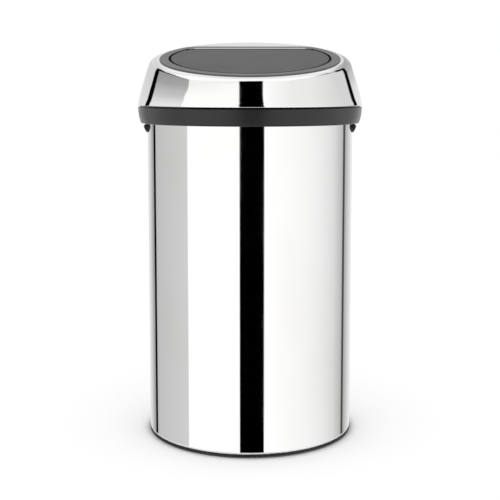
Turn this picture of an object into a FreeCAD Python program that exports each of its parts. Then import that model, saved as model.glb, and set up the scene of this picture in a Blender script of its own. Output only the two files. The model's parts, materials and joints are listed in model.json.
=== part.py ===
import FreeCAD, Part
import math
import os

from FreeCAD import Placement, Rotation, Vector

# Touch-top waste bin, in millimetres. The origin is on the floor at the bin's axis,
# +Z is up, the front with the catch is -Y and the hinge is at +Y.

# Driving dimensions of the body
BODY_R = 192.0             # outside of the steel tube
BODY_H = 593.4             # height of the steel tube
SHEET = 0.8                # steel sheet of body, floor and dome
FOOT_H = 6.0               # base ring that shows below the steel
FOOT_BEND_R = 2.0          # outside radius of the bend at the steel's foot
FOOT_FLANGE_W = 12.0       # turned-in foot flange
SEAM_W = 14.0              # lap seam at the rear
SEAM_H = 0.6
PAD_H = 0.8                # rubber pads standing below the base ring
PAD_T = 2.0
PAD_W = 7.0
PAD_COUNT = 4
PAD_ARC = 28.0             # degrees covered by one pad
BASE_SCREW_ANGLES = (0, 90, 180, 270)
FLOOR_RISE = 7.2           # step of the pressed floor
FLOOR_STEP_W = 9.0

# Driving dimensions of the plastic at the top of the body
COLLAR_T = 2.55            # legs of the collar
COLLAR_CAP = 1.6
COLLAR_OUTER_H = 13.0
COLLAR_LEDGE_DROP = 6.5    # bucket ledge below the collar's top
COLLAR_LEDGE_W = 6.5
GRIP_ARC = 13.0            # half the arc of a side grip, degrees
GRIP_H = 21.5
GRIP_NOSE = 7.4            # how far a side grip stands out
GRIP_CORNER_R = 13.0
GRIP_TOE = 0.25            # thickness of the lower edge, share of the nose
GRIP_NOSE_AT = 0.55        # height of the nose, share of the grip's height
GRIP_BOW = (0.78, 0.3)     # a point of the rounded underside, shares of nose and height
GRIP_SLOPE = 0.2           # rise of the slope above the nose, share of the grip's height
RIVET_BITE = 0.4           # how deep a rivet enters, share of the nose

# Driving dimensions of the bucket
BUCKET_T = 2.2
BUCKET_TAPER = 9.5         # narrower at the bottom by this much, in radius
BUCKET_CLEAR_FLOOR = 9.0
RIM_T = 2.5
HAND_HOLE_L = 112.0
HAND_HOLE_H = 34.0
HAND_HOLE_DROP = 9.0       # hand hole below the rim
HAND_HOLE_ROUND = 0.45     # corner radius, share of the hole's height

# Driving dimensions of the band and the dome
BAND_H = 32.0
BAND_T = 2.2
BAND_CURVE_R = 88.0        # the band's wall bulges on this radius
BAND_TOE_R = 3.5
BAND_SEAT_H = 11.5         # rib that sits on the collar
BAND_WEB_T = 2.5
BAND_GROOVE_H = 2.0        # shadow groove between the band and the dome's edge
BAND_GROOVE_D = 3.5
BAND_RIBS = 24
DOME_OVERHANG = 17.2       # edge of dome and band beyond the body
DOME_BEND_R = 1.8          # outside radius of the bend at the dome's edge
DOME_RISE = 87.8           # from the band's top to the middle of the sloping top
DOME_FLANGE_W = 14.0
BAND_SCREW_AT = 0.68       # screws inside the dome's edge, share of the flange
BAND_SCREWS = 6
TILT = 12.0                # slope of the top, degrees
SHOULDER_R = 15.0
WALL_LEAN = 19.0           # lean of the dome's wall where the shoulder starts, degrees
WALL_STATIONS = 14
SHOULDER_STATIONS = 5

# Driving dimensions of the sloping top, seen square on
BEZEL_INSET = 23.0         # bezel's outer edge inside the body's radius
STEEL_MARGIN = 5.5         # flat steel round the bezel
BEZEL_W = 18.0
BEZEL_T = 1.8
BEZEL_EDGE_R = 1.0
FLAP_GAP = 2.8
HINGE_GAP = 1.2
BAR_FRONT = 91.0           # front of the bar, behind the middle of the top
BAR_W = 34.0               # bar between the flap and the steel
BAR_FALL = 1.2             # the bar's top falls away to the rear
THROAT_T = 2.2
THROAT_H = 16.0
LEDGE_W = 7.0
LEDGE_T = 2.0
FRAME_T = 2.2
FRAME_W = 11.0
SLEEVE_H = 26.0
FRAME_SCREW_ANGLES = (0, 180, 215, 325, 250, 290)
BUFFER_R = 2.8
BUFFER_H = 2.0
BUFFER_EDGE_R = 0.8
BUFFER_ANGLES = (225, 315)

# Driving dimensions of the flap
COVER_T = 2.5
COVER_EDGE_R = 1.4
SKIRT_T = 2.5
SKIRT_H = 9.0              # below the steel's top plane
LINER_T = 2.0
LINER_INSET = 15.0         # liner's rear edge in front of the hinge
LINER_RIB_H = 4.5
LINER_RIB_T = 1.6
LINER_RIBS_AT = (-0.5, -0.25, 0.25, 0.5)   # shares of half the flap's width
LINER_SCREW_SIDE = 0.75                    # share of half the flap's width
LINER_SCREW_FRONT = 57.0                   # in front of the middle of the top
LINER_SCREW_REAR = 14.0                    # behind the middle of the top
BEAD_INSET = 10.0                          # bead on the liner's underside
BEAD_W = 2.5
BEAD_H = 1.0
BARREL_R = 6.0
BARREL_T = 1.9
BARREL_FROM = 25.0         # the rounded rear edge runs from here to the top, degrees
PIN_R = 1.5
KNUCKLE_R = 3.4
HINGE_BOSS_R = 3.2
ARM_W = 11.0
ARM_L = 22.0
ARM_INSET = 12.0           # arm's outer face inside the flap's side

# Driving dimensions of the damper's gears
MODULE = 0.8
SECTOR_TEETH = 40          # teeth of the whole circle
PINION_TEETH = 12
GEAR_W = 6.5
PRESSURE_ANGLE = 20.0
MESH_ANGLE = -105.0        # direction from hinge to pinion, degrees
SECTOR_BEFORE = 10.0
SECTOR_AFTER = 95.0
ADDENDUM = 0.9
DEDENDUM = 1.2
THINNING = 0.85            # tooth width against half the pitch
DAMPER_R = 8.5
DAMPER_L = 12.5
ROTOR_R = 1.6
DAMPER_SCREW_BITE = 3.75

# Driving dimensions of the catch
STRIKE_W = 18.0
STRIKE_T = 2.0
STRIKE_DEPTH = 22.0
STRIKE_INSET = 4.2         # middle of the strike inside the flap's edge
WINDOW_W = 12.0
WINDOW_LOW = 18.5
WINDOW_HIGH = 11.0
HOOK_W = 10.0
HOOK_T = 4.5
NOSE_LOW = 18.2
NOSE_HIGH = 14.2
NOSE_REACH = 3.5           # past the front face of the strike when it is held
CATCH_PIN_R = 1.5
CATCH_PIVOT_OUT = 9.0      # hook's pivot outside the mouth
CATCH_PIVOT_Z = 35.0
RELEASE_ANGLE = 13.0       # the hook rests swung clear of the strike, degrees
CATCH_WALL = 2.5
CATCH_PAD_T = 1.3          # flat pad on the frame for the catch
CATCH_BACK_GAP = 10.0      # from the pivot to the inside of the back wall

# Clearances
SLIP = 0.3                 # curved faces that face each other
FIT = 0.05                 # pins and rivets in their holes
PRESS_FIT = 0.02
SEAT_GAP = 0.2
STEEL_HOLE_GAP = 1.0
RUN_GAP = 0.8              # side play of arms, gears and hook

# Fasteners
SCREW_R = 1.4
SCREW_HEAD_R = 3.2
SCREW_HEAD_H = 1.8
BOSS_R = 2.8
RIVET_R = 2.0
RIVET_HEAD_R = 3.6
RIVET_HEAD_H = 1.5

# Springs
OPEN_WIRE_R = 0.5
OPEN_COIL_R = 2.5
OPEN_TURNS = 9
OPEN_LAST = 0.15           # part of a turn that brings the rear leg to its wall
OPEN_PITCH = 1.9
OPEN_LEG = 12.0
CATCH_WIRE_R = 0.35
CATCH_COIL_R = 2.2
CATCH_TURNS = 3
LEAST_COIL_GAP = 0.4

# Heights up the body
SHELL_TOP = FOOT_H + BODY_H
COLLAR_TOP = SHELL_TOP + SEAT_GAP + COLLAR_CAP
LEDGE_TOP = COLLAR_TOP - COLLAR_LEDGE_DROP
BAND_WEB_LOW = COLLAR_TOP + BAND_SEAT_H
BAND_TOP = BAND_WEB_LOW + BAND_WEB_T
BAND_EDGE = BAND_TOP - BAND_GROOVE_H
BAND_BOTTOM = BAND_TOP - BAND_H
SHELL_IN_R = BODY_R - SHEET
COLLAR_IN_R = SHELL_IN_R - SEAT_GAP - COLLAR_T
COLLAR_OUT_R = BODY_R + SEAT_GAP + COLLAR_T
LEDGE_IN_R = COLLAR_IN_R - COLLAR_LEDGE_W
DOME_EDGE_R = BODY_R + DOME_OVERHANG

# Places on the sloping top: x to the right, y to the rear, z square to it, from the steel's top plane
BEZEL_R = BODY_R - BEZEL_INSET
FLAT_R = BEZEL_R + STEEL_MARGIN
FRAME_R = BEZEL_R - 1.5 * BEZEL_EDGE_R
MOUTH_R = BEZEL_R - BEZEL_W
BEZEL_REAR = BAR_FRONT + BAR_W
FLAP_R = MOUTH_R - FLAP_GAP
FLAP_REAR = BAR_FRONT - HINGE_GAP
FLAP_SIDE = math.sqrt(MOUTH_R ** 2 - FLAP_REAR ** 2) - FLAP_GAP
HINGE_Y = FLAP_REAR - BARREL_R
HINGE_Z = BEZEL_T - BARREL_R
CORNER_Y = HINGE_Y - BARREL_R - HINGE_GAP
LINER_REAR = HINGE_Y - LINER_INSET
COVER_LOW = BEZEL_T - COVER_T
LINER_LOW = -SKIRT_H
LINER_TOP = LINER_LOW + LINER_T
ARM_OUT = FLAP_SIDE - ARM_INSET
ARM_IN = ARM_OUT - ARM_W
BOSS_END = ARM_OUT + RUN_GAP
SLEEVE_OFFSET = THROAT_T + SLIP
SLEEVE_SIDE = math.sqrt((MOUTH_R + SLEEVE_OFFSET) ** 2 - HINGE_Y ** 2)
FRAME_TOP = -SHEET
FRAME_LOW = FRAME_TOP - FRAME_T
SECTOR_R = SECTOR_TEETH * MODULE / 2
PINION_R = PINION_TEETH * MODULE / 2
GEAR_IN = ARM_IN - GEAR_W
MESH = math.radians(MESH_ANGLE)
PINION_Y = HINGE_Y + (SECTOR_R + PINION_R) * math.cos(MESH)
PINION_Z = HINGE_Z + (SECTOR_R + PINION_R) * math.sin(MESH)
DAMPER_IN = ARM_IN + RUN_GAP
DAMPER_OUT = DAMPER_IN + DAMPER_L
STRIKE_Y = FLAP_R - STRIKE_INSET
CATCH_PIVOT_Y = MOUTH_R + CATCH_PIVOT_OUT
CATCH_FACE = MOUTH_R + SLEEVE_OFFSET + FRAME_T + CATCH_PAD_T
SCREW_RING_R = (FRAME_R + MOUTH_R + SLEEVE_OFFSET) / 2
ON_TOP = Placement(Vector(0, 0, BAND_TOP + DOME_RISE), Rotation(Vector(1, 0, 0), TILT))


def profile(start, *steps):
    """A line through (radius, height) points. A pair of points is the middle and end of an arc."""
    edges = []
    here = start
    for step in steps:
        if isinstance(step[0], tuple):
            middle, end = step
            edges.append(Part.Arc(upright(here), upright(middle), upright(end)).toShape())
        else:
            end = step
            edges.append(Part.LineSegment(upright(here), upright(end)).toShape())
        here = end
    return Part.Wire(edges)


def section(start, *steps):
    """A flat face inside a closed profile."""
    return Part.Face(profile(start, *steps, start))


def upright(point):
    return Vector(point[0], 0, point[1])


def on_circle(centre, radius, degrees):
    angle = math.radians(degrees)
    return (centre[0] + radius * math.cos(angle), centre[1] + radius * math.sin(angle))


def turned(shape):
    return shape.revolve(Vector(0, 0, 0), Vector(0, 0, 1), 360)


def block(low, high):
    size = [b - a for a, b in zip(low, high)]
    return Part.makeBox(*size, Vector(*low))


def rod(start, direction, radius, length):
    return Part.makeCylinder(radius, length, Vector(*start), Vector(*direction))


def around(solid, angles):
    """Copies of a solid turned about the bin's axis."""
    copies = []
    for angle in angles:
        copy = solid.copy()
        copy.rotate(Vector(0, 0, 0), Vector(0, 0, 1), angle)
        copies.append(copy)
    return copies


def mirrored(solid):
    return solid.mirror(Vector(0, 0, 0), Vector(1, 0, 0))


def group(solids):
    return Part.makeCompound(solids)


def on_top(shape):
    """Carries a shape from the sloping top's own axes to the bin's axes."""
    moved = shape.copy()
    moved.Placement = ON_TOP.multiply(moved.Placement)
    return moved


def disc_cut(radius, rear, low, high):
    """A disc with a straight rear edge."""
    disc = rod((0, 0, low), (0, 0, 1), radius, high - low)
    return disc.cut(block((-radius, rear, low), (radius, radius, high)))


def mouth_prism(offset, rear, low, high):
    """The mouth's outline, grown by an offset, up to a straight rear edge."""
    return disc_cut(MOUTH_R + offset, rear, low, high)


# Body

def body_shell():
    bend_in = FOOT_BEND_R - SHEET
    bend = (BODY_R - FOOT_BEND_R, FOOT_H + FOOT_BEND_R)
    flange_in = BODY_R - FOOT_FLANGE_W
    tube = turned(section(
        (flange_in, FOOT_H),
        (bend[0], FOOT_H),
        (on_circle(bend, FOOT_BEND_R, -45), on_circle(bend, FOOT_BEND_R, 0)),
        (BODY_R, SHELL_TOP),
        (SHELL_IN_R, SHELL_TOP),
        on_circle(bend, bend_in, 0),
        (on_circle(bend, bend_in, -45), on_circle(bend, bend_in, -90)),
        (flange_in, FOOT_H + SHEET),
    ))
    seam_top = LEDGE_TOP - COLLAR_OUTER_H - SEAM_W
    seam_low = bend[1] + SEAM_W
    seam_face = block((-SEAM_W / 2, 0, seam_low), (SEAM_W / 2, BODY_R + SEAM_W, seam_top))
    lap = rod((0, 0, seam_low), (0, 0, 1), BODY_R + SEAM_H, seam_top - seam_low)
    lap = lap.cut(rod((0, 0, seam_low), (0, 0, 1), BODY_R - SHEET / 2, seam_top - seam_low))
    tube = tube.fuse(lap.common(seam_face)).removeSplitter()
    for rivet in rivet_places():
        tube = tube.cut(rod((0, rivet[1], rivet[2]), rivet[3], RIVET_R + FIT, BODY_R + GRIP_NOSE))
    for screw in base_screw_solids(FIT):
        tube = tube.cut(screw)
    return tube


def base_screw_ring():
    return BODY_R - FOOT_FLANGE_W / 2 - FOOT_BEND_R / 2


def base_screw_solids(extra):
    low = PAD_H + PAD_T
    head = rod((base_screw_ring(), 0, low - SCREW_HEAD_H), (0, 0, 1), SCREW_HEAD_R + extra, SCREW_HEAD_H)
    shank_l = FOOT_H + 2 * SHEET - low + SCREW_HEAD_H
    shank = rod((base_screw_ring(), 0, low), (0, 0, 1), SCREW_R + extra, shank_l)
    return around(head.fuse(shank).removeSplitter(), BASE_SCREW_ANGLES)


def base_ring():
    outer = BODY_R + SEAM_H
    toe = (outer - FOOT_BEND_R, PAD_H + FOOT_BEND_R)
    inner = BODY_R - FOOT_FLANGE_W - PAD_T
    ring = turned(section(
        (inner, PAD_H),
        (toe[0], PAD_H),
        (on_circle(toe, FOOT_BEND_R, -45), on_circle(toe, FOOT_BEND_R, 0)),
        (outer, FOOT_H),
        (inner, FOOT_H),
    ))
    for pad in floor_pad_solids(SEAT_GAP):
        ring = ring.cut(pad)
    for screw in base_screw_solids(FIT):
        ring = ring.cut(screw)
    reach = SCREW_HEAD_R + FIT
    access = rod((base_screw_ring(), 0, 0), (0, 0, 1), reach, PAD_H + PAD_T)
    for hole in around(access, BASE_SCREW_ANGLES):
        ring = ring.cut(hole)
    return ring


def floor_pad_solids(extra):
    middle = base_screw_ring()
    half = PAD_W / 2 + extra
    face = section(
        (middle - half, 0),
        (middle + half, 0),
        (middle + half, PAD_T),
        (middle - half, PAD_T),
    )
    face.rotate(Vector(0, 0, 0), Vector(0, 0, 1), 45 - PAD_ARC / 2)
    turn = math.degrees(extra / middle)
    face.rotate(Vector(0, 0, 0), Vector(0, 0, 1), -turn)
    pad = face.revolve(Vector(0, 0, 0), Vector(0, 0, 1), PAD_ARC + 2 * turn)
    return around(pad, [360 / PAD_COUNT * k for k in range(PAD_COUNT)])


def base_plate():
    low = FOOT_H + SHEET
    rim = SHELL_IN_R - FOOT_BEND_R
    step_out = BODY_R - FOOT_FLANGE_W
    step_in = step_out - FLOOR_STEP_W
    plate = turned(section(
        (0, low + FLOOR_RISE),
        (step_in, low + FLOOR_RISE),
        (step_out, low),
        (rim, low),
        (rim, low + SHEET),
        (step_out, low + SHEET),
        (step_in, low + FLOOR_RISE + SHEET),
        (0, low + FLOOR_RISE + SHEET),
    ))
    for screw in base_screw_solids(FIT):
        plate = plate.cut(screw)
    return plate


def top_collar():
    leg_in_low = LEDGE_TOP - COLLAR_T - COLLAR_CAP
    slot_out = BODY_R + SEAT_GAP
    slot_in = SHELL_IN_R - SEAT_GAP
    slot_top = SHELL_TOP
    return turned(section(
        (LEDGE_IN_R, LEDGE_TOP - COLLAR_T),
        (COLLAR_IN_R, LEDGE_TOP - COLLAR_T),
        (COLLAR_IN_R, leg_in_low),
        (slot_in, leg_in_low),
        (slot_in, slot_top),
        (slot_out, slot_top),
        (slot_out, COLLAR_TOP - COLLAR_OUTER_H),
        (COLLAR_OUT_R, COLLAR_TOP - COLLAR_OUTER_H),
        (COLLAR_OUT_R, COLLAR_TOP),
        (COLLAR_IN_R, COLLAR_TOP),
        (COLLAR_IN_R, LEDGE_TOP),
        (LEDGE_IN_R, LEDGE_TOP),
    ))


def grip_top():
    return COLLAR_TOP - COLLAR_OUTER_H - SEAT_GAP


def rivet_places():
    """Side, y, z and direction of each rivet."""
    z = grip_top() - GRIP_H / 2
    spread = BODY_R * math.sin(math.radians(GRIP_ARC)) / 2
    places = []
    for side in (-1, 1):
        for y in (-spread, spread):
            places.append((side, y, z, (side, 0, 0)))
    return places


def side_grip(side):
    """A ledge that leans out from the steel, cut to a tongue with rounded lower corners."""
    inner = BODY_R + FIT
    top = grip_top()
    low = top - GRIP_H
    nose_z = low + GRIP_H * GRIP_NOSE_AT
    bow = (inner + GRIP_NOSE * GRIP_BOW[0], low + GRIP_H * GRIP_BOW[1])
    profile = section(
        (inner, low),
        (inner + GRIP_NOSE * GRIP_TOE, low),
        (bow, (BODY_R + GRIP_NOSE, nose_z)),
        (COLLAR_OUT_R - SEAT_GAP, nose_z + GRIP_H * GRIP_SLOPE),
        (COLLAR_OUT_R - SEAT_GAP, top),
        (inner, top),
    )
    profile.rotate(Vector(0, 0, 0), Vector(0, 0, 1), -GRIP_ARC)
    ledge = profile.revolve(Vector(0, 0, 0), Vector(0, 0, 1), 2 * GRIP_ARC)
    half = BODY_R * math.sin(math.radians(GRIP_ARC))
    tongue = block((0, -half, low), (2 * BODY_R, half, top + GRIP_CORNER_R))
    lower = [e for e in tongue.Edges if is_along_x(e) and e.CenterOfMass.z < top]
    grip = ledge.common(tongue.makeFillet(GRIP_CORNER_R, lower))
    for place in rivet_places():
        if place[0] > 0:
            grip = grip.cut(rod((0, place[1], place[2]), (1, 0, 0), RIVET_R + FIT, rivet_tip()))
    return grip if side > 0 else mirrored(grip)


def is_along_x(edge):
    box = edge.BoundBox
    return box.YLength < 1e-6 and box.ZLength < 1e-6


def rivet_tip():
    return BODY_R + GRIP_NOSE * RIVET_BITE


def grip_rivets():
    rivets = []
    for side, y, z, direction in rivet_places():
        bearing = math.sqrt(SHELL_IN_R ** 2 - (abs(y) + RIVET_HEAD_R) ** 2)
        head = rod((side * (bearing - RIVET_HEAD_H), y, z), direction, RIVET_HEAD_R, RIVET_HEAD_H)
        shank = rod((side * bearing, y, z), direction, RIVET_R, rivet_tip() - bearing)
        rivets.append(head.fuse(shank).removeSplitter())
    return group(rivets)


# Bucket

def inner_bucket():
    top_r = LEDGE_IN_R - 2 * BUCKET_T
    low_r = top_r - BUCKET_TAPER
    low = FOOT_H + SHEET + FLOOR_RISE + SHEET + BUCKET_CLEAR_FLOOR
    rim_r = COLLAR_IN_R - SEAT_GAP - SLIP
    rim_top = LEDGE_TOP + RIM_T
    bucket = turned(section(
        (0, low + BUCKET_T),
        (low_r - 4 * BUCKET_T, low + BUCKET_T),
        (low_r - 3 * BUCKET_T, low),
        (low_r, low),
        (top_r, LEDGE_TOP),
        (rim_r, LEDGE_TOP),
        (rim_r, rim_top),
        (top_r - BUCKET_T, rim_top),
        (low_r - BUCKET_T, low + 2 * BUCKET_T),
        (0, low + 2 * BUCKET_T),
    ))
    z_high = LEDGE_TOP - HAND_HOLE_DROP
    z_low = z_high - HAND_HOLE_H
    hole = block((-2 * BODY_R, -HAND_HOLE_L / 2, z_low), (2 * BODY_R, HAND_HOLE_L / 2, z_high))
    hole = hole.makeFillet(HAND_HOLE_H * HAND_HOLE_ROUND, [e for e in hole.Edges if is_along_x(e)])
    return bucket.cut(hole)


# Lid unit: band and dome

def lid_band():
    centre = (DOME_EDGE_R - BAND_CURVE_R, BAND_EDGE)
    inner_r = BAND_CURVE_R - BAND_T
    toe_arm = BAND_CURVE_R - BAND_TOE_R
    fall = -math.degrees(math.asin((BAND_EDGE - BAND_BOTTOM - BAND_TOE_R) / toe_arm))
    toe = on_circle(centre, toe_arm, fall)
    lip_r = COLLAR_OUT_R + 2 * COLLAR_CAP
    web_angle = -math.degrees(math.asin(BAND_WEB_T / inner_r))
    groove_in = DOME_EDGE_R - BAND_GROOVE_D
    step_in = groove_in - BAND_WEB_T
    seat_out = SHELL_IN_R
    seat_in = COLLAR_IN_R
    web_in = LEDGE_IN_R + BAND_WEB_T
    band = turned(section(
        (web_in, BAND_TOP),
        (groove_in, BAND_TOP),
        (groove_in, BAND_EDGE),
        (DOME_EDGE_R, BAND_EDGE),
        (on_circle(centre, BAND_CURVE_R, fall / 2), on_circle(centre, BAND_CURVE_R, fall)),
        (on_circle(toe, BAND_TOE_R, (fall - 90) / 2), on_circle(toe, BAND_TOE_R, -90)),
        (lip_r, BAND_BOTTOM),
        (lip_r, BAND_BOTTOM + BAND_T),
        on_circle(centre, inner_r, fall),
        (on_circle(centre, inner_r, (fall + web_angle) / 2), on_circle(centre, inner_r, web_angle)),
        (step_in, BAND_EDGE - BAND_WEB_T),
        (step_in, BAND_WEB_LOW),
        (seat_out, BAND_WEB_LOW),
        (seat_out, COLLAR_TOP),
        (seat_in, COLLAR_TOP),
        (seat_in, BAND_WEB_LOW),
        (web_in, BAND_WEB_LOW),
    ))
    rib_low = BAND_BOTTOM + BAND_T + BAND_TOE_R
    rib = block((lip_r, -BAND_T / 4, rib_low), (DOME_EDGE_R, BAND_T / 4, BAND_WEB_LOW))
    cavity = turned(section(
        (lip_r, rib_low),
        on_circle(centre, inner_r + BAND_T / 2, fall),
        (on_circle(centre, inner_r + BAND_T / 2, (fall + web_angle) / 2),
         on_circle(centre, inner_r + BAND_T / 2, web_angle)),
        (lip_r, BAND_WEB_LOW + BAND_T / 2),
    ))
    turn = 360 / BAND_RIBS
    ribs = around(rib.common(cavity), [turn * (k + 0.5) for k in range(BAND_RIBS)])
    band = band.multiFuse(ribs).removeSplitter()
    for screw in band_screw_solids(FIT):
        band = band.cut(screw)
    return band


def band_screw_solids(extra):
    ring = DOME_EDGE_R - DOME_FLANGE_W * BAND_SCREW_AT
    head = rod((ring, 0, BAND_WEB_LOW - SCREW_HEAD_H), (0, 0, 1), SCREW_HEAD_R, SCREW_HEAD_H)
    shank = rod((ring, 0, BAND_WEB_LOW), (0, 0, 1), SCREW_R + extra, 2 * BAND_WEB_T + SHEET)
    turn = 360 / BAND_SCREWS
    return around(head.fuse(shank).removeSplitter(), [turn * (k + 0.5) for k in range(BAND_SCREWS)])


def dome_stations():
    """Radius, height above the band and normal's rise at each level of the dome's outside."""
    lean = math.radians(WALL_LEAN)
    start_r = FLAT_R + SHOULDER_R * math.cos(lean)
    start_h = DOME_RISE - SHOULDER_R * (1 - math.sin(lean))
    inset = DOME_EDGE_R - start_r
    wall_h = start_h - DOME_BEND_R
    power = math.tan(lean) * wall_h / inset
    stations = []
    for k in range(WALL_STATIONS):
        share = k / WALL_STATIONS
        rise = math.atan(math.tan(lean) * share ** (power - 1)) if share else 0.0
        stations.append((DOME_EDGE_R - inset * share ** power, DOME_BEND_R + wall_h * share, rise))
    for k in range(SHOULDER_STATIONS + 1):
        rise = lean + (math.pi / 2 - lean) * k / SHOULDER_STATIONS
        height = DOME_RISE - SHOULDER_R * (1 - math.sin(rise))
        stations.append((FLAT_R + SHOULDER_R * math.cos(rise), height, rise))
    return stations


def dome_circles(inset):
    """Circles of the dome's outside, or of its inside at an inset, that tilt as they rise."""
    wires = []
    for radius, height, rise in dome_stations():
        turn = Rotation(Vector(1, 0, 0), TILT * (height - DOME_BEND_R) / (DOME_RISE - DOME_BEND_R))
        circle = Part.makeCircle(radius - inset * math.cos(rise))
        sunk = turn.multVec(Vector(0, 0, -inset * math.sin(rise)))
        circle.Placement = Placement(Vector(0, 0, BAND_TOP + height) + sunk, turn)
        wires.append(Part.Wire(circle))
    return wires


def dome_flange():
    """Faces of the turned-in edge that lies on the band, from the dome's inside to its outside."""
    bend_in = DOME_BEND_R - SHEET
    bend = (DOME_EDGE_R - DOME_BEND_R, BAND_TOP + DOME_BEND_R)
    flange_in = DOME_EDGE_R - DOME_FLANGE_W
    return turned(profile(
        on_circle(bend, bend_in, 0),
        (on_circle(bend, bend_in, -45), on_circle(bend, bend_in, -90)),
        (flange_in, BAND_TOP + SHEET),
        (flange_in, BAND_TOP),
        (bend[0], BAND_TOP),
        (on_circle(bend, DOME_BEND_R, -45), on_circle(bend, DOME_BEND_R, 0)),
    )).Faces


def dome_sheet():
    """Outside and inside are lofts closed by their flat tops, the flange joins them."""
    faces = dome_flange()
    for inset in (0, SHEET):
        wires = dome_circles(inset)
        faces += Part.makeLoft(wires, False, False).Faces
        faces.append(Part.Face(wires[-1]))
    sheet = group(faces)
    sheet.sewShape()
    solid = Part.Solid(sheet.Shells[0])
    if solid.Volume < 0:
        solid.reverse()
    return solid


def dome_shell():
    dome = dome_sheet()
    hole_offset = THROAT_T + STEEL_HOLE_GAP
    hole = mouth_prism(hole_offset, BAR_FRONT + hole_offset, -SHOULDER_R, SHOULDER_R)
    dome = dome.cut(on_top(hole))
    for x, y in frame_screw_places():
        dome = dome.cut(on_top(rod((x, y, -SHEET * 3), (0, 0, 1), BOSS_R + SEAT_GAP, SHEET * 5)))
    for screw in band_screw_solids(FIT):
        dome = dome.cut(screw)
    return dome


# Lid unit: pieces of the sloping top, in its own axes

def frame_screw_places():
    places = []
    for angle in FRAME_SCREW_ANGLES:
        places.append(on_circle((0, 0), SCREW_RING_R, angle))
    rear_y = (BAR_FRONT + SLEEVE_OFFSET + FRAME_T + BEZEL_REAR) / 2
    places.append((-FLAP_SIDE / 2, rear_y))
    places.append((FLAP_SIDE / 2, rear_y))
    return places


def hinge_notch(side, z_high):
    """Room in the throat for a hinge boss, open at the bottom."""
    half = HINGE_BOSS_R + SLIP
    ends = sorted((side * BOSS_END, side * (SLEEVE_SIDE + 2 * FRAME_T)))
    return block((ends[0], HINGE_Y - half, -SLEEVE_H), (ends[1], HINGE_Y + half, z_high))


def gear_window():
    reach = SECTOR_R + 2 * MODULE
    low = (GEAR_IN - RUN_GAP, HINGE_Y - reach, -SLEEVE_H - THROAT_H)
    high = (ARM_IN + RUN_GAP / 2, HINGE_Y + reach, FRAME_LOW - SEAT_GAP)
    return block(low, high)


def catch_window(width, high):
    return block((-width / 2, -CATCH_FACE, -SLEEVE_H), (width / 2, 0, high))


def lid_bezel():
    ring = disc_cut(BEZEL_R, BEZEL_REAR, 0, BEZEL_T)
    rim = [e for e in ring.Edges if e.CenterOfMass.z > BEZEL_T - 1e-6]
    ring = ring.makeFillet(BEZEL_EDGE_R, rim)
    fall = math.degrees(math.atan(BAR_FALL / (BAR_W / 2)))
    wedge = block((-BEZEL_R, 0, 0), (BEZEL_R, BAR_W, BEZEL_T))
    wedge.rotate(Vector(0, 0, 0), Vector(1, 0, 0), -fall)
    wedge.translate(Vector(0, BEZEL_REAR - BAR_W / 2, BEZEL_T))
    ring = ring.cut(wedge)
    ring = ring.fuse(mouth_prism(THROAT_T, BAR_FRONT + THROAT_T, -THROAT_H, BEZEL_T / 2))
    ring = ring.cut(mouth_prism(0, BAR_FRONT, -THROAT_H, BEZEL_T))
    ledge = mouth_prism(THROAT_T / 2, LINER_REAR, -THROAT_H, LEDGE_T - THROAT_H)
    ring = ring.fuse(ledge.cut(mouth_prism(-LEDGE_W, LINER_REAR, -THROAT_H, LEDGE_T - THROAT_H)))
    bosses = []
    for x, y in frame_screw_places():
        bosses.append(rod((x, y, FRAME_LOW + SEAT_GAP), (0, 0, 1), BOSS_R, BEZEL_T / 2 - FRAME_LOW - SEAT_GAP))
    ring = ring.multiFuse(bosses).removeSplitter()
    for screw in frame_screw_solids(FIT):
        ring = ring.cut(screw)
    for side in (-1, 1):
        ring = ring.cut(hinge_notch(side, HINGE_Z + HINGE_BOSS_R + SLIP))
    ring = ring.cut(gear_window())
    return ring.cut(catch_window(STRIKE_W + 4 * RUN_GAP, SKIRT_H / -2))


def frame_screw_solids(extra):
    solids = []
    for x, y in frame_screw_places():
        head = rod((x, y, FRAME_LOW - SCREW_HEAD_H), (0, 0, 1), SCREW_HEAD_R, SCREW_HEAD_H)
        shank = rod((x, y, FRAME_LOW), (0, 0, 1), SCREW_R + extra, FRAME_T + SHEET + BEZEL_T / 2)
        solids.append(head.fuse(shank).removeSplitter())
    return solids


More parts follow.
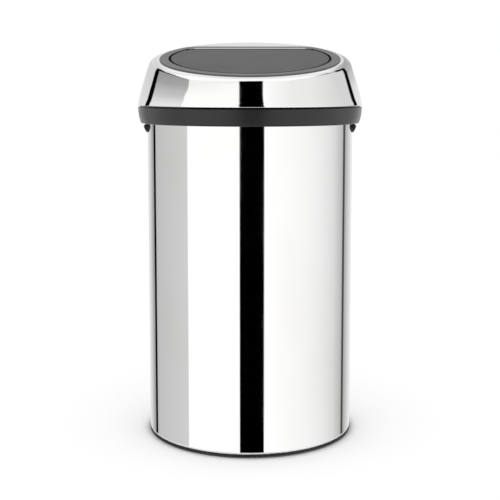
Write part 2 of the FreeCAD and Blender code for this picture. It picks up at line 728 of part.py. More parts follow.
def lid_frame():
    rear = BEZEL_REAR - BEZEL_T
    plate = disc_cut(FRAME_R, rear, FRAME_LOW, FRAME_TOP)
    sleeve_out = SLEEVE_OFFSET + FRAME_T
    plate = plate.fuse(mouth_prism(sleeve_out, BAR_FRONT + sleeve_out, -SLEEVE_H, FRAME_TOP))
    pad = block((-2 * STRIKE_W, -CATCH_FACE, -SLEEVE_H), (2 * STRIKE_W, -MOUTH_R / 2, FRAME_LOW))
    plate = plate.fuse(pad)
    plate = plate.cut(mouth_prism(SLEEVE_OFFSET, BAR_FRONT + SLEEVE_OFFSET, -SLEEVE_H, FRAME_TOP))
    bracket_low = PINION_Z - DAMPER_R - FRAME_T
    bracket = block(
        (DAMPER_OUT, PINION_Y - DAMPER_R, bracket_low),
        (DAMPER_OUT + FRAME_T, BAR_FRONT + SLEEVE_OFFSET + FRAME_T, -THROAT_H - SEAT_GAP),
    )
    parts = [bracket]
    for side in (-1, 1):
        boss_l = SLEEVE_SIDE + 2 * FRAME_T - BOSS_END
        parts.append(rod((side * BOSS_END, HINGE_Y, HINGE_Z), (side, 0, 0), HINGE_BOSS_R, boss_l))
    plate = plate.multiFuse(parts).removeSplitter()
    plate = plate.cut(rod((-BODY_R, HINGE_Y, HINGE_Z), (1, 0, 0), PIN_R + PRESS_FIT, 2 * BODY_R))
    for x, y in frame_screw_places():
        plate = plate.cut(rod((x, y, FRAME_LOW), (0, 0, 1), BOSS_R + SEAT_GAP, FRAME_T))
    plate = plate.cut(gear_window())
    plate = plate.cut(catch_window(HOOK_W + 4 * RUN_GAP, FRAME_LOW * 2))
    for screw in damper_screw_solids(FIT) + catch_screw_solids(FIT):
        plate = plate.cut(screw)
    return plate


def hinge_pin(side):
    inner = ARM_IN - RUN_GAP
    if side < 0:
        inner = -spring_end_x() - OPEN_PITCH
    length = SLEEVE_SIDE + 2 * FRAME_T - inner
    return rod((side * inner, HINGE_Y, HINGE_Z), (side, 0, 0), PIN_R, length)


def flap_buffer_solids():
    ring = MOUTH_R - LEDGE_W / 2
    solids = []
    for angle in BUFFER_ANGLES:
        x, y = on_circle((0, 0), ring, angle)
        foot = rod((x, y, LEDGE_T - THROAT_H), (0, 0, 1), BUFFER_R, BUFFER_H)
        top = [e for e in foot.Edges if e.CenterOfMass.z > LEDGE_T - THROAT_H + BUFFER_H - 1e-6]
        solids.append(foot.makeFillet(BUFFER_EDGE_R, top))
    return solids


# Gears

def involute(angle):
    return math.tan(angle) - angle


def tooth_flank(teeth):
    """Radius and half width, as an angle, from a tooth's root to its tip."""
    pitch_r = teeth * MODULE / 2
    pressure = math.radians(PRESSURE_ANGLE)
    base_r = pitch_r * math.cos(pressure)
    root_r = pitch_r - DEDENDUM * MODULE
    tip_r = pitch_r + ADDENDUM * MODULE
    half = math.pi / 2 / teeth * THINNING
    start_r = max(base_r, root_r)
    radii = [root_r] if root_r < base_r else []
    radii += [start_r + (tip_r - start_r) * k / 3 for k in range(4)]
    flank = []
    for radius in radii:
        roll = math.acos(min(1.0, base_r / radius))
        flank.append((radius, half + involute(pressure) - involute(roll)))
    return flank


def toothed_points(teeth, centre_angles):
    """Outline points, as (y, z) about the gear's own centre, over teeth at these angles."""
    points = []
    flank = tooth_flank(teeth)
    for angle in centre_angles:
        for radius, half in flank:
            points.append((radius * math.cos(angle - half), radius * math.sin(angle - half)))
        for radius, half in reversed(flank):
            points.append((radius * math.cos(angle + half), radius * math.sin(angle + half)))
    return points


def toothed_solid(points, y, z, x_low, width):
    corners = [Vector(x_low, y + a, z + b) for a, b in points]
    return Part.Face(Part.makePolygon(corners + corners[:1])).extrude(Vector(width, 0, 0))


def gear_sector():
    step = 2 * math.pi / SECTOR_TEETH
    first = -math.floor(math.radians(SECTOR_BEFORE) / step)
    last = math.floor(math.radians(SECTOR_AFTER) / step)
    angles = [MESH + step * k for k in range(first, last + 1)]
    points = toothed_points(SECTOR_TEETH, angles)
    points.append((0, 0))
    sector = toothed_solid(points, HINGE_Y, HINGE_Z, GEAR_IN, GEAR_W)
    hub = rod((GEAR_IN, HINGE_Y, HINGE_Z), (1, 0, 0), KNUCKLE_R, GEAR_W)
    return sector.fuse(hub)


def damper_pinion():
    step = 2 * math.pi / PINION_TEETH
    angles = [MESH + math.pi + step * (k + 0.5) for k in range(PINION_TEETH)]
    points = toothed_points(PINION_TEETH, angles)
    gear = toothed_solid(points, PINION_Y, PINION_Z, GEAR_IN + SEAT_GAP, GEAR_W - 2 * SEAT_GAP)
    shaft_end = DAMPER_IN + DAMPER_L / 2
    shaft = rod((GEAR_IN + SEAT_GAP, PINION_Y, PINION_Z), (1, 0, 0), ROTOR_R, shaft_end - GEAR_IN - SEAT_GAP)
    return gear.fuse(shaft).removeSplitter()


def damper_screw_places():
    reach = DAMPER_R - SCREW_HEAD_R
    return [(PINION_Y - reach, PINION_Z), (PINION_Y + reach, PINION_Z)]


def damper_housing():
    drum = rod((DAMPER_IN, PINION_Y, PINION_Z), (1, 0, 0), DAMPER_R, DAMPER_L)
    front = [e for e in drum.Edges if e.CenterOfMass.x < DAMPER_IN + 1e-6]
    drum = drum.makeFillet(RUN_GAP, front)
    drum = drum.cut(rod((DAMPER_IN, PINION_Y, PINION_Z), (1, 0, 0), ROTOR_R + FIT, DAMPER_L / 2 + SEAT_GAP))
    for screw in damper_screw_solids(FIT):
        drum = drum.cut(screw)
    return drum


def damper_screw_solids(extra):
    solids = []
    for y, z in damper_screw_places():
        face = DAMPER_OUT + FRAME_T
        head = rod((face, y, z), (1, 0, 0), SCREW_HEAD_R, SCREW_HEAD_H)
        shank = rod((face, y, z), (-1, 0, 0), SCREW_R + extra, FRAME_T + DAMPER_SCREW_BITE)
        solids.append(head.fuse(shank).removeSplitter())
    return solids


# Catch

def hook_held():
    """The hook as it stands when it holds the strike."""
    back = -CATCH_PIVOT_Y - HOOK_T / 2
    front = -CATCH_PIVOT_Y + HOOK_T / 2
    tip = -STRIKE_Y - STRIKE_T / 2 + NOSE_REACH
    face = Part.Face(Part.makePolygon([
        Vector(-HOOK_W / 2, back, -CATCH_PIVOT_Z),
        Vector(-HOOK_W / 2, front, -CATCH_PIVOT_Z),
        Vector(-HOOK_W / 2, front, -NOSE_LOW),
        Vector(-HOOK_W / 2, tip, -NOSE_LOW),
        Vector(-HOOK_W / 2, tip, -NOSE_LOW + (NOSE_LOW - NOSE_HIGH) / 2),
        Vector(-HOOK_W / 2, tip - NOSE_REACH, -NOSE_HIGH),
        Vector(-HOOK_W / 2, back, -NOSE_HIGH),
        Vector(-HOOK_W / 2, back, -CATCH_PIVOT_Z),
    ]))
    lever = face.extrude(Vector(HOOK_W, 0, 0))
    foot = rod((-HOOK_W / 2, -CATCH_PIVOT_Y, -CATCH_PIVOT_Z), (1, 0, 0), 2 * CATCH_PIN_R + RUN_GAP, HOOK_W)
    lever = lever.fuse(foot).removeSplitter()
    return lever.cut(rod((-HOOK_W, -CATCH_PIVOT_Y, -CATCH_PIVOT_Z), (1, 0, 0), CATCH_PIN_R + FIT, 2 * HOOK_W))


def catch_hook():
    """The hook as it rests, swung clear of the strike."""
    hook = hook_held()
    hook.rotate(Vector(0, -CATCH_PIVOT_Y, -CATCH_PIVOT_Z), Vector(1, 0, 0), RELEASE_ANGLE)
    return hook


def catch_back():
    return CATCH_PIVOT_Y + CATCH_BACK_GAP


def catch_low():
    return CATCH_PIVOT_Z + 2 * CATCH_PIN_R + RUN_GAP + CATCH_WALL


def catch_housing():
    cheek_in = HOOK_W / 2 + RUN_GAP
    cheek_out = cheek_in + CATCH_WALL
    high = FRAME_LOW * 2
    box = block((-cheek_out, -catch_back() - CATCH_WALL, -catch_low()), (cheek_out, -CATCH_FACE, high))
    box = box.cut(block((-cheek_in, -catch_back(), -catch_low()), (cheek_in, -CATCH_FACE, high - CATCH_WALL)))
    ear = block(
        (-cheek_out - 3 * SCREW_HEAD_R, -CATCH_FACE - CATCH_WALL, -SLEEVE_H),
        (cheek_out + 3 * SCREW_HEAD_R, -CATCH_FACE, high - CATCH_WALL),
    )
    ear = ear.cut(block((-cheek_in, -catch_back(), -catch_low()), (cheek_in, 0, high)))
    ear_corners = [e for e in ear.Edges if abs(e.CenterOfMass.x) > cheek_out + SCREW_HEAD_R and is_along_y(e)]
    box = box.fuse(ear.makeFillet(SCREW_HEAD_R, ear_corners)).removeSplitter()
    pin_start = (-cheek_out, -CATCH_PIVOT_Y, -CATCH_PIVOT_Z)
    box = box.cut(rod(pin_start, (1, 0, 0), CATCH_PIN_R + PRESS_FIT, 2 * cheek_out))
    for screw in catch_screw_solids(FIT):
        box = box.cut(screw)
    return box


def is_along_y(edge):
    box = edge.BoundBox
    return box.XLength < 1e-6 and box.ZLength < 1e-6


def catch_screw_solids(extra):
    x = HOOK_W / 2 + RUN_GAP + CATCH_WALL + 1.5 * SCREW_HEAD_R
    z = (FRAME_LOW * 2 - CATCH_WALL - SLEEVE_H) / 2
    face = -CATCH_FACE - CATCH_WALL
    solids = []
    for side in (-1, 1):
        head = rod((side * x, face, z), (0, -1, 0), SCREW_HEAD_R, SCREW_HEAD_H)
        shank = rod((side * x, face, z), (0, 1, 0), SCREW_R + extra, CATCH_WALL + 2 * SCREW_R)
        solids.append(head.fuse(shank).removeSplitter())
    return solids


def catch_pin():
    half = HOOK_W / 2 + RUN_GAP + CATCH_WALL
    return rod((-half, -CATCH_PIVOT_Y, -CATCH_PIVOT_Z), (1, 0, 0), CATCH_PIN_R, 2 * half)


def flap_strike():
    front = -STRIKE_Y - STRIKE_T / 2
    rear = -STRIKE_Y + STRIKE_T / 2
    blade = block((-STRIKE_W / 2, front, -STRIKE_DEPTH), (STRIKE_W / 2, rear, LINER_TOP + STRIKE_T))
    blade = blade.cut(block((-WINDOW_W / 2, front, -WINDOW_LOW), (WINDOW_W / 2, rear, -WINDOW_HIGH)))
    foot = block((-STRIKE_W / 2, front, LINER_TOP), (STRIKE_W / 2, rear + STRIKE_W, LINER_TOP + STRIKE_T))
    plate = blade.fuse(foot).removeSplitter()
    for x, y in strike_screw_places():
        plate = plate.cut(rod((x, y, LINER_TOP), (0, 0, 1), SCREW_R + FIT, STRIKE_T))
    return plate


def strike_screw_places():
    return [(0.0, -STRIKE_Y + STRIKE_T / 2 + STRIKE_W / 2)]


# Flap

def flap_cover():
    """The panel. Its rear corners are cut back so that they clear the round mouth as the flap swings."""
    plate = disc_cut(FLAP_R, HINGE_Y, COVER_LOW, BEZEL_T)
    rim = [e for e in plate.Edges if e.CenterOfMass.z > BEZEL_T - 1e-6 and e.CenterOfMass.y < HINGE_Y - 1e-6]
    plate = plate.makeFillet(COVER_EDGE_R, rim)
    for side in (-1, 1):
        ends = sorted((side * FLAP_SIDE, side * FLAP_R))
        plate = plate.cut(block((ends[0], CORNER_Y, COVER_LOW), (ends[1], HINGE_Y, BEZEL_T)))
    skirt = disc_cut(FLAP_R, CORNER_Y, LINER_LOW, COVER_LOW)
    skirt = skirt.cut(disc_cut(FLAP_R - SKIRT_T, CORNER_Y, LINER_LOW, COVER_LOW))
    length = 2 * FLAP_SIDE
    barrel = barrel_sector(BARREL_R, length).cut(barrel_sector(BARREL_R - BARREL_T, length))
    bosses = []
    for x, y in liner_screw_places():
        bosses.append(rod((x, y, LINER_TOP), (0, 0, 1), BOSS_R, COVER_LOW - LINER_TOP + COVER_T / 2))
    cover = plate.multiFuse([skirt, barrel] + bosses).removeSplitter()
    for screw in liner_screw_solids(FIT):
        cover = cover.cut(screw)
    return cover


def barrel_sector(radius, length):
    """A sector of a cylinder about the hinge, from BARREL_FROM above level to the top."""
    start = Vector(-FLAP_SIDE, HINGE_Y, HINGE_Z)
    angles = (BARREL_FROM, (BARREL_FROM + 90) / 2, 90)
    corners = [on_circle((HINGE_Y, HINGE_Z), radius, angle) for angle in angles]
    first, middle, last = [Vector(-FLAP_SIDE, y, z) for y, z in corners]
    edges = [
        Part.LineSegment(start, first).toShape(),
        Part.Arc(first, middle, last).toShape(),
        Part.LineSegment(last, start).toShape(),
    ]
    return Part.Face(Part.Wire(edges)).extrude(Vector(length, 0, 0))


def liner_screw_places():
    x = FLAP_SIDE * LINER_SCREW_SIDE
    return [(-x, -LINER_SCREW_FRONT), (x, -LINER_SCREW_FRONT), (-x, LINER_SCREW_REAR), (x, LINER_SCREW_REAR)]


def arm_screw_places(side):
    x = side * (ARM_IN + ARM_OUT) / 2
    return [(x, LINER_REAR - BOSS_R - RUN_GAP)]


def liner_screw_solids(extra):
    solids = []
    for x, y in liner_screw_places():
        head = rod((x, y, LINER_LOW - SCREW_HEAD_H), (0, 0, 1), SCREW_HEAD_R, SCREW_HEAD_H)
        shank = rod((x, y, LINER_LOW), (0, 0, 1), SCREW_R + extra, COVER_LOW - LINER_LOW - SEAT_GAP)
        solids.append(head.fuse(shank).removeSplitter())
    return solids


def short_screw_solids(extra):
    solids = []
    places = arm_screw_places(-1) + arm_screw_places(1) + strike_screw_places()
    for x, y in places:
        head = rod((x, y, LINER_LOW - SCREW_HEAD_H), (0, 0, 1), SCREW_HEAD_R, SCREW_HEAD_H)
        shank = rod((x, y, LINER_LOW), (0, 0, 1), SCREW_R + extra, LINER_T + STRIKE_T)
        solids.append(head.fuse(shank).removeSplitter())
    return solids


def flap_liner():
    edge = -FLAP_GAP - SKIRT_T - SEAT_GAP
    panel = mouth_prism(edge, LINER_REAR, LINER_LOW, LINER_TOP)
    ribs = []
    for share in LINER_RIBS_AT:
        x = share * FLAP_SIDE
        low = (x - LINER_RIB_T / 2, -MOUTH_R / 2, LINER_TOP)
        ribs.append(block(low, (x + LINER_RIB_T / 2, LINER_REAR, LINER_TOP + LINER_RIB_H)))
    bead_low = LINER_LOW - BEAD_H
    bead = mouth_prism(edge - BEAD_INSET, LINER_REAR - BEAD_INSET, bead_low, LINER_LOW)
    inside = BEAD_INSET + BEAD_W
    bead = bead.cut(mouth_prism(edge - inside, LINER_REAR - inside, bead_low, LINER_LOW))
    slot = block(
        (-STRIKE_W / 2 - SEAT_GAP, -MOUTH_R, 2 * LINER_LOW),
        (STRIKE_W / 2 + SEAT_GAP, -STRIKE_Y + STRIKE_T / 2 + SEAT_GAP, LINER_TOP),
    )
    panel = panel.multiFuse(ribs + [bead]).removeSplitter().cut(slot)
    for screw in liner_screw_solids(FIT) + short_screw_solids(FIT):
        panel = panel.cut(screw)
    return panel


def hinge_arm(side):
    body = block(
        (ARM_IN, HINGE_Y - ARM_L, LINER_TOP),
        (ARM_OUT, HINGE_Y, COVER_LOW - SEAT_GAP),
    )
    knuckle = rod((ARM_IN, HINGE_Y, HINGE_Z), (1, 0, 0), KNUCKLE_R, ARM_W)
    arm = body.fuse(knuckle)
    if side > 0:
        arm = arm.fuse(gear_sector())
    arm = arm.removeSplitter()
    arm = arm.cut(rod((0, HINGE_Y, HINGE_Z), (1, 0, 0), PIN_R + FIT, BODY_R))
    arm = arm if side > 0 else mirrored(arm)
    for screw in short_screw_solids(FIT):
        arm = arm.cut(screw)
    return arm


# Springs

def arc_middle(start, corner, end):
    """The middle of the arc that leaves its start towards a corner and reaches its end from there."""
    chord = (start + end) * 0.5
    half = (end - start).Length / 2
    bow = math.atan2((corner - chord).Length, half)
    return chord + (corner - chord) * (math.tan(bow / 2) / math.tan(bow))


def biarc(start, start_way, end, end_way):
    """Two arcs that leave one point and reach another along the given ways."""
    span = end - start
    ways = start_way + end_way
    spread = 2 * (1 - start_way.dot(end_way))
    reach = span.dot(ways)
    arm = (math.sqrt(reach ** 2 + spread * span.dot(span)) - reach) / spread
    near = start + start_way * arm
    far = end - end_way * arm
    middle = (near + far) * 0.5
    return [
        Part.Arc(start, arc_middle(start, near, middle), middle).toShape(),
        Part.Arc(middle, arc_middle(middle, far, end), end).toShape(),
    ]


def coil_point(origin, axis, first, second, radius, pitch, turn):
    angle = 2 * math.pi * turn
    out = first * math.cos(angle) + second * math.sin(angle)
    along = second * math.cos(angle) - first * math.sin(angle)
    way = along * (2 * math.pi * radius) + axis * pitch
    return origin + axis * (pitch * turn) + out * radius, way.normalize()


def coil_spring(name, origin, axis, first, second, radius, pitch, turns, wire_r, legs):
    """A wire wound about an axis in half turns and a rest, with straight legs, as one tube."""
    marks = [k / 2 for k in range(math.ceil(2 * turns))] + [turns]
    stations = [coil_point(origin, axis, first, second, radius, pitch, mark) for mark in marks]
    edges = []
    path = []
    for (start, start_way), (end, end_way) in zip(stations, stations[1:]):
        edges += biarc(start, start_way, end, end_way)
    start, start_way = stations[0]
    end, end_way = stations[-1]
    if legs[0]:
        edges.insert(0, Part.LineSegment(start - start_way * legs[0], start).toShape())
    if legs[1]:
        edges.append(Part.LineSegment(end, end + end_way * legs[1]).toShape())
    for edge in edges:
        path += edge.discretize(7)[:-1]
    report_coil_gap(name, path, wire_r, radius)
    foot = start - start_way * legs[0]
    ring = Part.Wire(Part.makeCircle(wire_r, foot, start_way))
    return Part.Wire(edges).makePipeShell([ring], True, False)


def report_coil_gap(name, path, wire_r, radius):
    """Prints the least gap between stretches of the wire that are more than a quarter turn apart."""
    lengths = [0.0]
    for a, b in zip(path, path[1:]):
        lengths.append(lengths[-1] + (b - a).Length)
    least = min(
        (b - a).Length
        for i, a in enumerate(path)
        for j, b in enumerate(path)
        if lengths[j] - lengths[i] > math.pi * radius / 2 + 2 * wire_r
    )
    print(name, "least gap to itself", round(least - 2 * wire_r, 2), "mm, more than", LEAST_COIL_GAP)


def spring_slope():
    """How far the opening spring's wire moves along the hinge and across it, for each unit of its length."""
    one_turn = math.hypot(2 * math.pi * OPEN_COIL_R, OPEN_PITCH)
    return OPEN_PITCH / one_turn, 2 * math.pi * OPEN_COIL_R / one_turn


def spring_start_x():
    """The coil starts where the front leg, which drifts along the hinge, still clears the arm."""
    along, across = spring_slope()
    return -ARM_IN + RUN_GAP + OPEN_WIRE_R + OPEN_LEG * along


def spring_end_x():
    return spring_start_x() + OPEN_PITCH * (OPEN_TURNS + OPEN_LAST)


def opening_spring():
    """The front leg lifts the flap, the rear leg bears on the throat's rear wall."""
    origin = Vector(spring_start_x(), HINGE_Y, HINGE_Z)
    x, y, z = Vector(1, 0, 0), Vector(0, 1, 0), Vector(0, 0, 1)
    along, across = spring_slope()
    last = 2 * math.pi * OPEN_LAST
    room = BAR_FRONT - SEAT_GAP - OPEN_WIRE_R - HINGE_Y - OPEN_COIL_R * math.sin(last)
    legs = (OPEN_LEG, room / (across * math.cos(last)))
    turns = OPEN_TURNS + OPEN_LAST
    return coil_spring("opening spring", origin, x, z, y, OPEN_COIL_R, OPEN_PITCH, turns, OPEN_WIRE_R, legs)


def catch_spring():
    z = -(NOSE_LOW + CATCH_PIVOT_Z) / 2 + CATCH_COIL_R
    slice_low = (-HOOK_W, -2 * CATCH_PIVOT_Y, z - CATCH_COIL_R)
    lever_back = catch_hook().common(block(slice_low, (HOOK_W, 0, z + CATCH_COIL_R)))
    room = catch_back() + lever_back.BoundBox.YMin
    pitch = (room - 2 * SLIP - 2 * CATCH_WIRE_R) / CATCH_TURNS
    origin = Vector(0, -catch_back() + SLIP + CATCH_WIRE_R, z)
    x, y, up = Vector(1, 0, 0), Vector(0, 1, 0), Vector(0, 0, 1)
    return coil_spring("catch spring", origin, y, x, up, CATCH_COIL_R, pitch, CATCH_TURNS, CATCH_WIRE_R, (0, 0))


def all_pieces():
    """Every node's name and shape, in the bin's axes."""
    pieces = {
        "body_shell": body_shell(),
        "base_ring": base_ring(),
        "base_plate": base_plate(),
        "base_screws": group(base_screw_solids(0)),
        "floor_pads": group(floor_pad_solids(0)),
        "top_collar": top_collar(),
        "left_side_grip": side_grip(-1),
        "right_side_grip": side_grip(1),
        "grip_rivets": grip_rivets(),
        "inner_bucket": inner_bucket(),
        "lid_band": lid_band(),
        "dome_shell": dome_shell(),
        "band_screws": group(band_screw_solids(0)),
    }
    sloping = {
        "lid_bezel": lid_bezel(),
        "lid_frame": lid_frame(),
        "frame_screws": group(frame_screw_solids(0)),
        "left_hinge_pin": hinge_pin(-1),
        "right_hinge_pin": hinge_pin(1),
        "opening_spring": opening_spring(),
        "damper_housing": damper_housing(),
        "damper_screws": group(damper_screw_solids(0)),
        "catch_housing": catch_housing(),
        "catch_screws": group(catch_screw_solids(0)),
        "catch_pin": catch_pin(),
        "catch_spring": catch_spring(),
        "flap_buffers": group(flap_buffer_solids()),
        "flap_cover": flap_cover(),
        "flap_liner": flap_liner(),
        "left_hinge_arm": hinge_arm(-1),
        "right_hinge_arm": hinge_arm(1),
        "flap_strike": flap_strike(),
        "flap_screws": group(liner_screw_solids(0) + short_screw_solids(0)),
        "damper_pinion": damper_pinion(),
        "catch_hook": catch_hook(),
    }
    for name, shape in sloping.items():
        pieces[name] = on_top(shape)
    return pieces


def main():
    os.makedirs("parts", exist_ok=True)
    for name, shape in all_pieces().items():
        solids = shape.Solids
        closed = all(solid.isValid() and solid.isClosed() for solid in solids)
        print(name, len(solids), "solids", round(shape.Volume), "mm3", "closed" if closed else "NOT CLOSED")
        shape.exportStep("parts/" + name + ".step")


main()
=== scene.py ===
# %% [markdown]
# # A touch-top waste bin, dressed in Blender
# The bin's solids come from the imported CAD model: a mirror-polished steel body, a dark plastic band, a
# steel dome with a sloping top, and a plastic flap inside a plastic bezel. In this lesson they keep
# their shapes. We give every surface a finish made of nodes, swap plain fasteners for ones with a
# driver recess, draw the hinge spring as a wire, and set up a small photo studio whose panels
# the polished steel can mirror.

# %% Load the frame
import json
import math

import bmesh
import bpy
import numpy as np
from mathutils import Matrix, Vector


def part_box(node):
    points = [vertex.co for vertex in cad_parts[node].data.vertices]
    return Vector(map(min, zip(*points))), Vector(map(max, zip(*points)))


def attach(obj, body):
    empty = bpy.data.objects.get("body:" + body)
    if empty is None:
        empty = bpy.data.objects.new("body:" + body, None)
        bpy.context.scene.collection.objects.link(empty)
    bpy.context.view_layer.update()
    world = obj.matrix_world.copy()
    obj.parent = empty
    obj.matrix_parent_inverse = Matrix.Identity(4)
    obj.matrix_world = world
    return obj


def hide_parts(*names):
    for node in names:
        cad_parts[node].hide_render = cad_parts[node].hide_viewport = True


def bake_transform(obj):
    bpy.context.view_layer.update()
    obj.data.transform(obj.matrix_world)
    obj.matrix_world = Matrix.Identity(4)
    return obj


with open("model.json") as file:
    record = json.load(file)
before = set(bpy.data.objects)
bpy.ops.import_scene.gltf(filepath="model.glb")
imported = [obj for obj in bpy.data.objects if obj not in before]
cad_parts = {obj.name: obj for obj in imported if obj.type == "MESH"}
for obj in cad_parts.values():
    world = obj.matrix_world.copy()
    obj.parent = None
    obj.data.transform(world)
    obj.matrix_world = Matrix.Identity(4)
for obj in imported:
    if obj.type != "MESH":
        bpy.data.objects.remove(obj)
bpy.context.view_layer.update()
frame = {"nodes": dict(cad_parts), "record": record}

nodes = frame["nodes"]
scene = bpy.context.scene

# %% [markdown]
# ## Small helpers for node trees
# A node material is a graph: boxes that hold values, joined by links. Writing each box by hand takes
# many lines, so `put` adds one node, sets its fields and sockets, and links what is handed to it. A
# link is given as an output socket, anything else is a plain value.

# %% Node helpers


def put(tree, kind, fields=None, **sockets):
    """Adds a node. `fields` sets its own settings, the rest fills input sockets by name or by number."""
    node = tree.nodes.new(kind)
    for name, value in (fields or {}).items():
        setattr(node, name, value)
    for name, value in sockets.items():
        key = int(name[1:]) if name[0] == "i" and name[1:].isdigit() else name.replace("_", " ")
        socket = node.inputs[key]
        if isinstance(value, bpy.types.NodeSocket):
            tree.links.new(value, socket)
        else:
            socket.default_value = value
    return node


def math_node(tree, operation, first, second=0.0, third=0.0):
    return put(tree, "ShaderNodeMath", {"operation": operation}, i0=first, i1=second, i2=third).outputs[0]


def vector_node(tree, operation, first, second=(0.0, 0.0, 0.0)):
    """Outputs of a Vector Math node: the first is a vector, Value is a number."""
    return put(tree, "ShaderNodeVectorMath", {"operation": operation}, i0=first, i1=second).outputs


def object_point(tree):
    return put(tree, "ShaderNodeTexCoord").outputs["Object"]


def mix_colour(tree, share, first, second):
    node = put(tree, "ShaderNodeMix", {"data_type": "RGBA"}, i0=share)
    for index, value in ((6, first), (7, second)):
        if isinstance(value, bpy.types.NodeSocket):
            tree.links.new(value, node.inputs[index])
        else:
            node.inputs[index].default_value = value
    return node.outputs[2]


def grey(level, warm=0.0):
    return (level * (1 + warm), level, level * (1 - warm), 1.0)


# %% [markdown]
# Most effects need a mask: a value that goes from 0 to 1 where something begins. A Map Range node with
# a smooth step makes one, and the helpers below name the usual forms.

# %% Mask helpers


def remap(tree, value, low, high, to_low, to_high):
    return put(tree, "ShaderNodeMapRange", {"interpolation_type": "SMOOTHSTEP"}, Value=value, From_Min=low,
               From_Max=high, To_Min=to_low, To_Max=to_high).outputs[0]


def step_up(tree, value, low, high):
    """0 up to `low`, 1 from `high` on."""
    return remap(tree, value, low, high, 0.0, 1.0)


def step_down(tree, value, low, high):
    """1 up to `low`, 0 from `high` on."""
    return remap(tree, value, low, high, 1.0, 0.0)


def beyond(tree, value, edge, soft):
    """0 below the edge, 1 above it."""
    return step_up(tree, value, edge - soft, edge + soft)


def between(tree, value, low, high, soft):
    """1 from `low` to `high`, 0 outside."""
    return math_node(tree, "MULTIPLY", beyond(tree, value, low, soft),
                     step_down(tree, value, high - soft, high + soft))


def near(tree, value, middle, half, soft):
    """1 within `half` of the middle, 0 outside."""
    away = math_node(tree, "ABSOLUTE", math_node(tree, "SUBTRACT", value, middle))
    return step_down(tree, away, half - soft, half + soft)


# %% [markdown]
# ## Shared effects as node groups
# Two effects are used by several finishes. Handling leaves faint smudges on steel and plastic alike, so
# the group `handling` gives a soft mask at the scale of a hand. Moulded plastic is never mirror smooth:
# its tool is etched, which leaves a fine grain, so `mould grain` gives a height for a Bump node. Each
# is built once and gets its own values in every material.

# %% Group: handling marks
SMUDGE_RANGE = (0.42, 0.72)     # levels of the noise between which a smudge grows


def handling_group():
    tree = bpy.data.node_groups.new("handling", "ShaderNodeTree")
    tree.interface.new_socket("Scale", in_out="INPUT", socket_type="NodeSocketFloat")
    tree.interface.new_socket("Stretch", in_out="INPUT", socket_type="NodeSocketVector")
    tree.interface.new_socket("Mask", in_out="OUTPUT", socket_type="NodeSocketFloat")
    given, result = put(tree, "NodeGroupInput").outputs, put(tree, "NodeGroupOutput").inputs
    point = vector_node(tree, "MULTIPLY", object_point(tree), given["Stretch"])[0]
    cloud = put(tree, "ShaderNodeTexNoise", Vector=point, Scale=given["Scale"], Detail=3.0, Roughness=0.55)
    tree.links.new(step_up(tree, cloud.outputs[0], *SMUDGE_RANGE), result["Mask"])
    return tree


HANDLING = handling_group()

# %% Group: mould grain


def grain_group():
    tree = bpy.data.node_groups.new("mould grain", "ShaderNodeTree")
    tree.interface.new_socket("Grains per metre", in_out="INPUT", socket_type="NodeSocketFloat")
    tree.interface.new_socket("Height", in_out="OUTPUT", socket_type="NodeSocketFloat")
    tree.interface.new_socket("Tone", in_out="OUTPUT", socket_type="NodeSocketFloat")
    given, result = put(tree, "NodeGroupInput").outputs, put(tree, "NodeGroupOutput").inputs
    point = object_point(tree)
    cells = put(tree, "ShaderNodeTexVoronoi", {"feature": "SMOOTH_F1"}, Vector=point,
                Scale=given["Grains per metre"], Smoothness=0.6)
    cloud = put(tree, "ShaderNodeTexNoise", Vector=point, Scale=9.0, Detail=2.0)
    tree.links.new(cells.outputs["Distance"], result["Height"])
    tree.links.new(cloud.outputs[0], result["Tone"])
    return tree


GRAIN = grain_group()
print("groups:", HANDLING.name, GRAIN.name)

# %% [markdown]
# ## Finishes
# A finish is one Principled BSDF with what changes over the surface linked into it, and what doesn't
# set on its own sockets. Steel is metallic, so its colour tints the reflection. Plastic has a dull base
# colour and a thin reflection on top of it, which grows towards grazing angles by itself.

# %% Start of a finish


def shader_of(material):
    return material.node_tree.nodes["Principled BSDF"]


def finish(name, **sockets):
    material = bpy.data.materials.new(name)
    material.use_nodes = True
    for key, value in sockets.items():
        shader_of(material).inputs[key.replace("_", " ")].default_value = value
    return material, material.node_tree, shader_of(material)


def group(tree, which, **sockets):
    node = put(tree, "ShaderNodeGroup", {"node_tree": which})
    for key, value in sockets.items():
        node.inputs[key.replace("_", " ")].default_value = value
    return node.outputs


# %% [markdown]
# ### Polished steel
# Body and dome are stainless sheet polished to a mirror. Up close it has very fine polishing lines
# round the bin and a few dull patches where hands have been, so the roughness moves between two low
# values.

# %% Polished steel
STEEL_TONES = (grey(0.90, 0.004), grey(0.87, 0.008))    # where clean, where handled
STEEL_ROUGHNESS = (0.028, 0.05)
POLISH_STRETCH = (2.0, 2.0, 900.0)      # noise cells per metre, which makes the lines run round the bin
POLISH_ROUGHNESS = 0.02


def polished_steel():
    material, tree, shader = finish("polished steel", Metallic=1.0)
    marks = group(tree, HANDLING, Scale=7.0, Stretch=(1.0, 1.0, 0.5))["Mask"]
    point = vector_node(tree, "MULTIPLY", object_point(tree), POLISH_STRETCH)[0]
    lines = put(tree, "ShaderNodeTexNoise", Vector=point, Scale=1.0, Detail=2.0).outputs[0]
    handled = remap(tree, marks, 0.0, 1.0, *STEEL_ROUGHNESS)
    rough = math_node(tree, "MULTIPLY_ADD", lines, POLISH_ROUGHNESS, handled)
    tree.links.new(rough, shader.inputs["Roughness"])
    tree.links.new(mix_colour(tree, marks, *STEEL_TONES), shader.inputs["Base Color"])
    return material


# %% [markdown]
# ### Plain steel
# Screws, pins, springs, the floor plate and the strike are zinc plated: a cool grey with a cloudy
# sheen.

# %% Plain steel
ZINC = ((0.50, 0.52, 0.54, 1.0), (0.62, 0.62, 0.60, 1.0))
ZINC_ROUGHNESS = (0.28, 0.42)


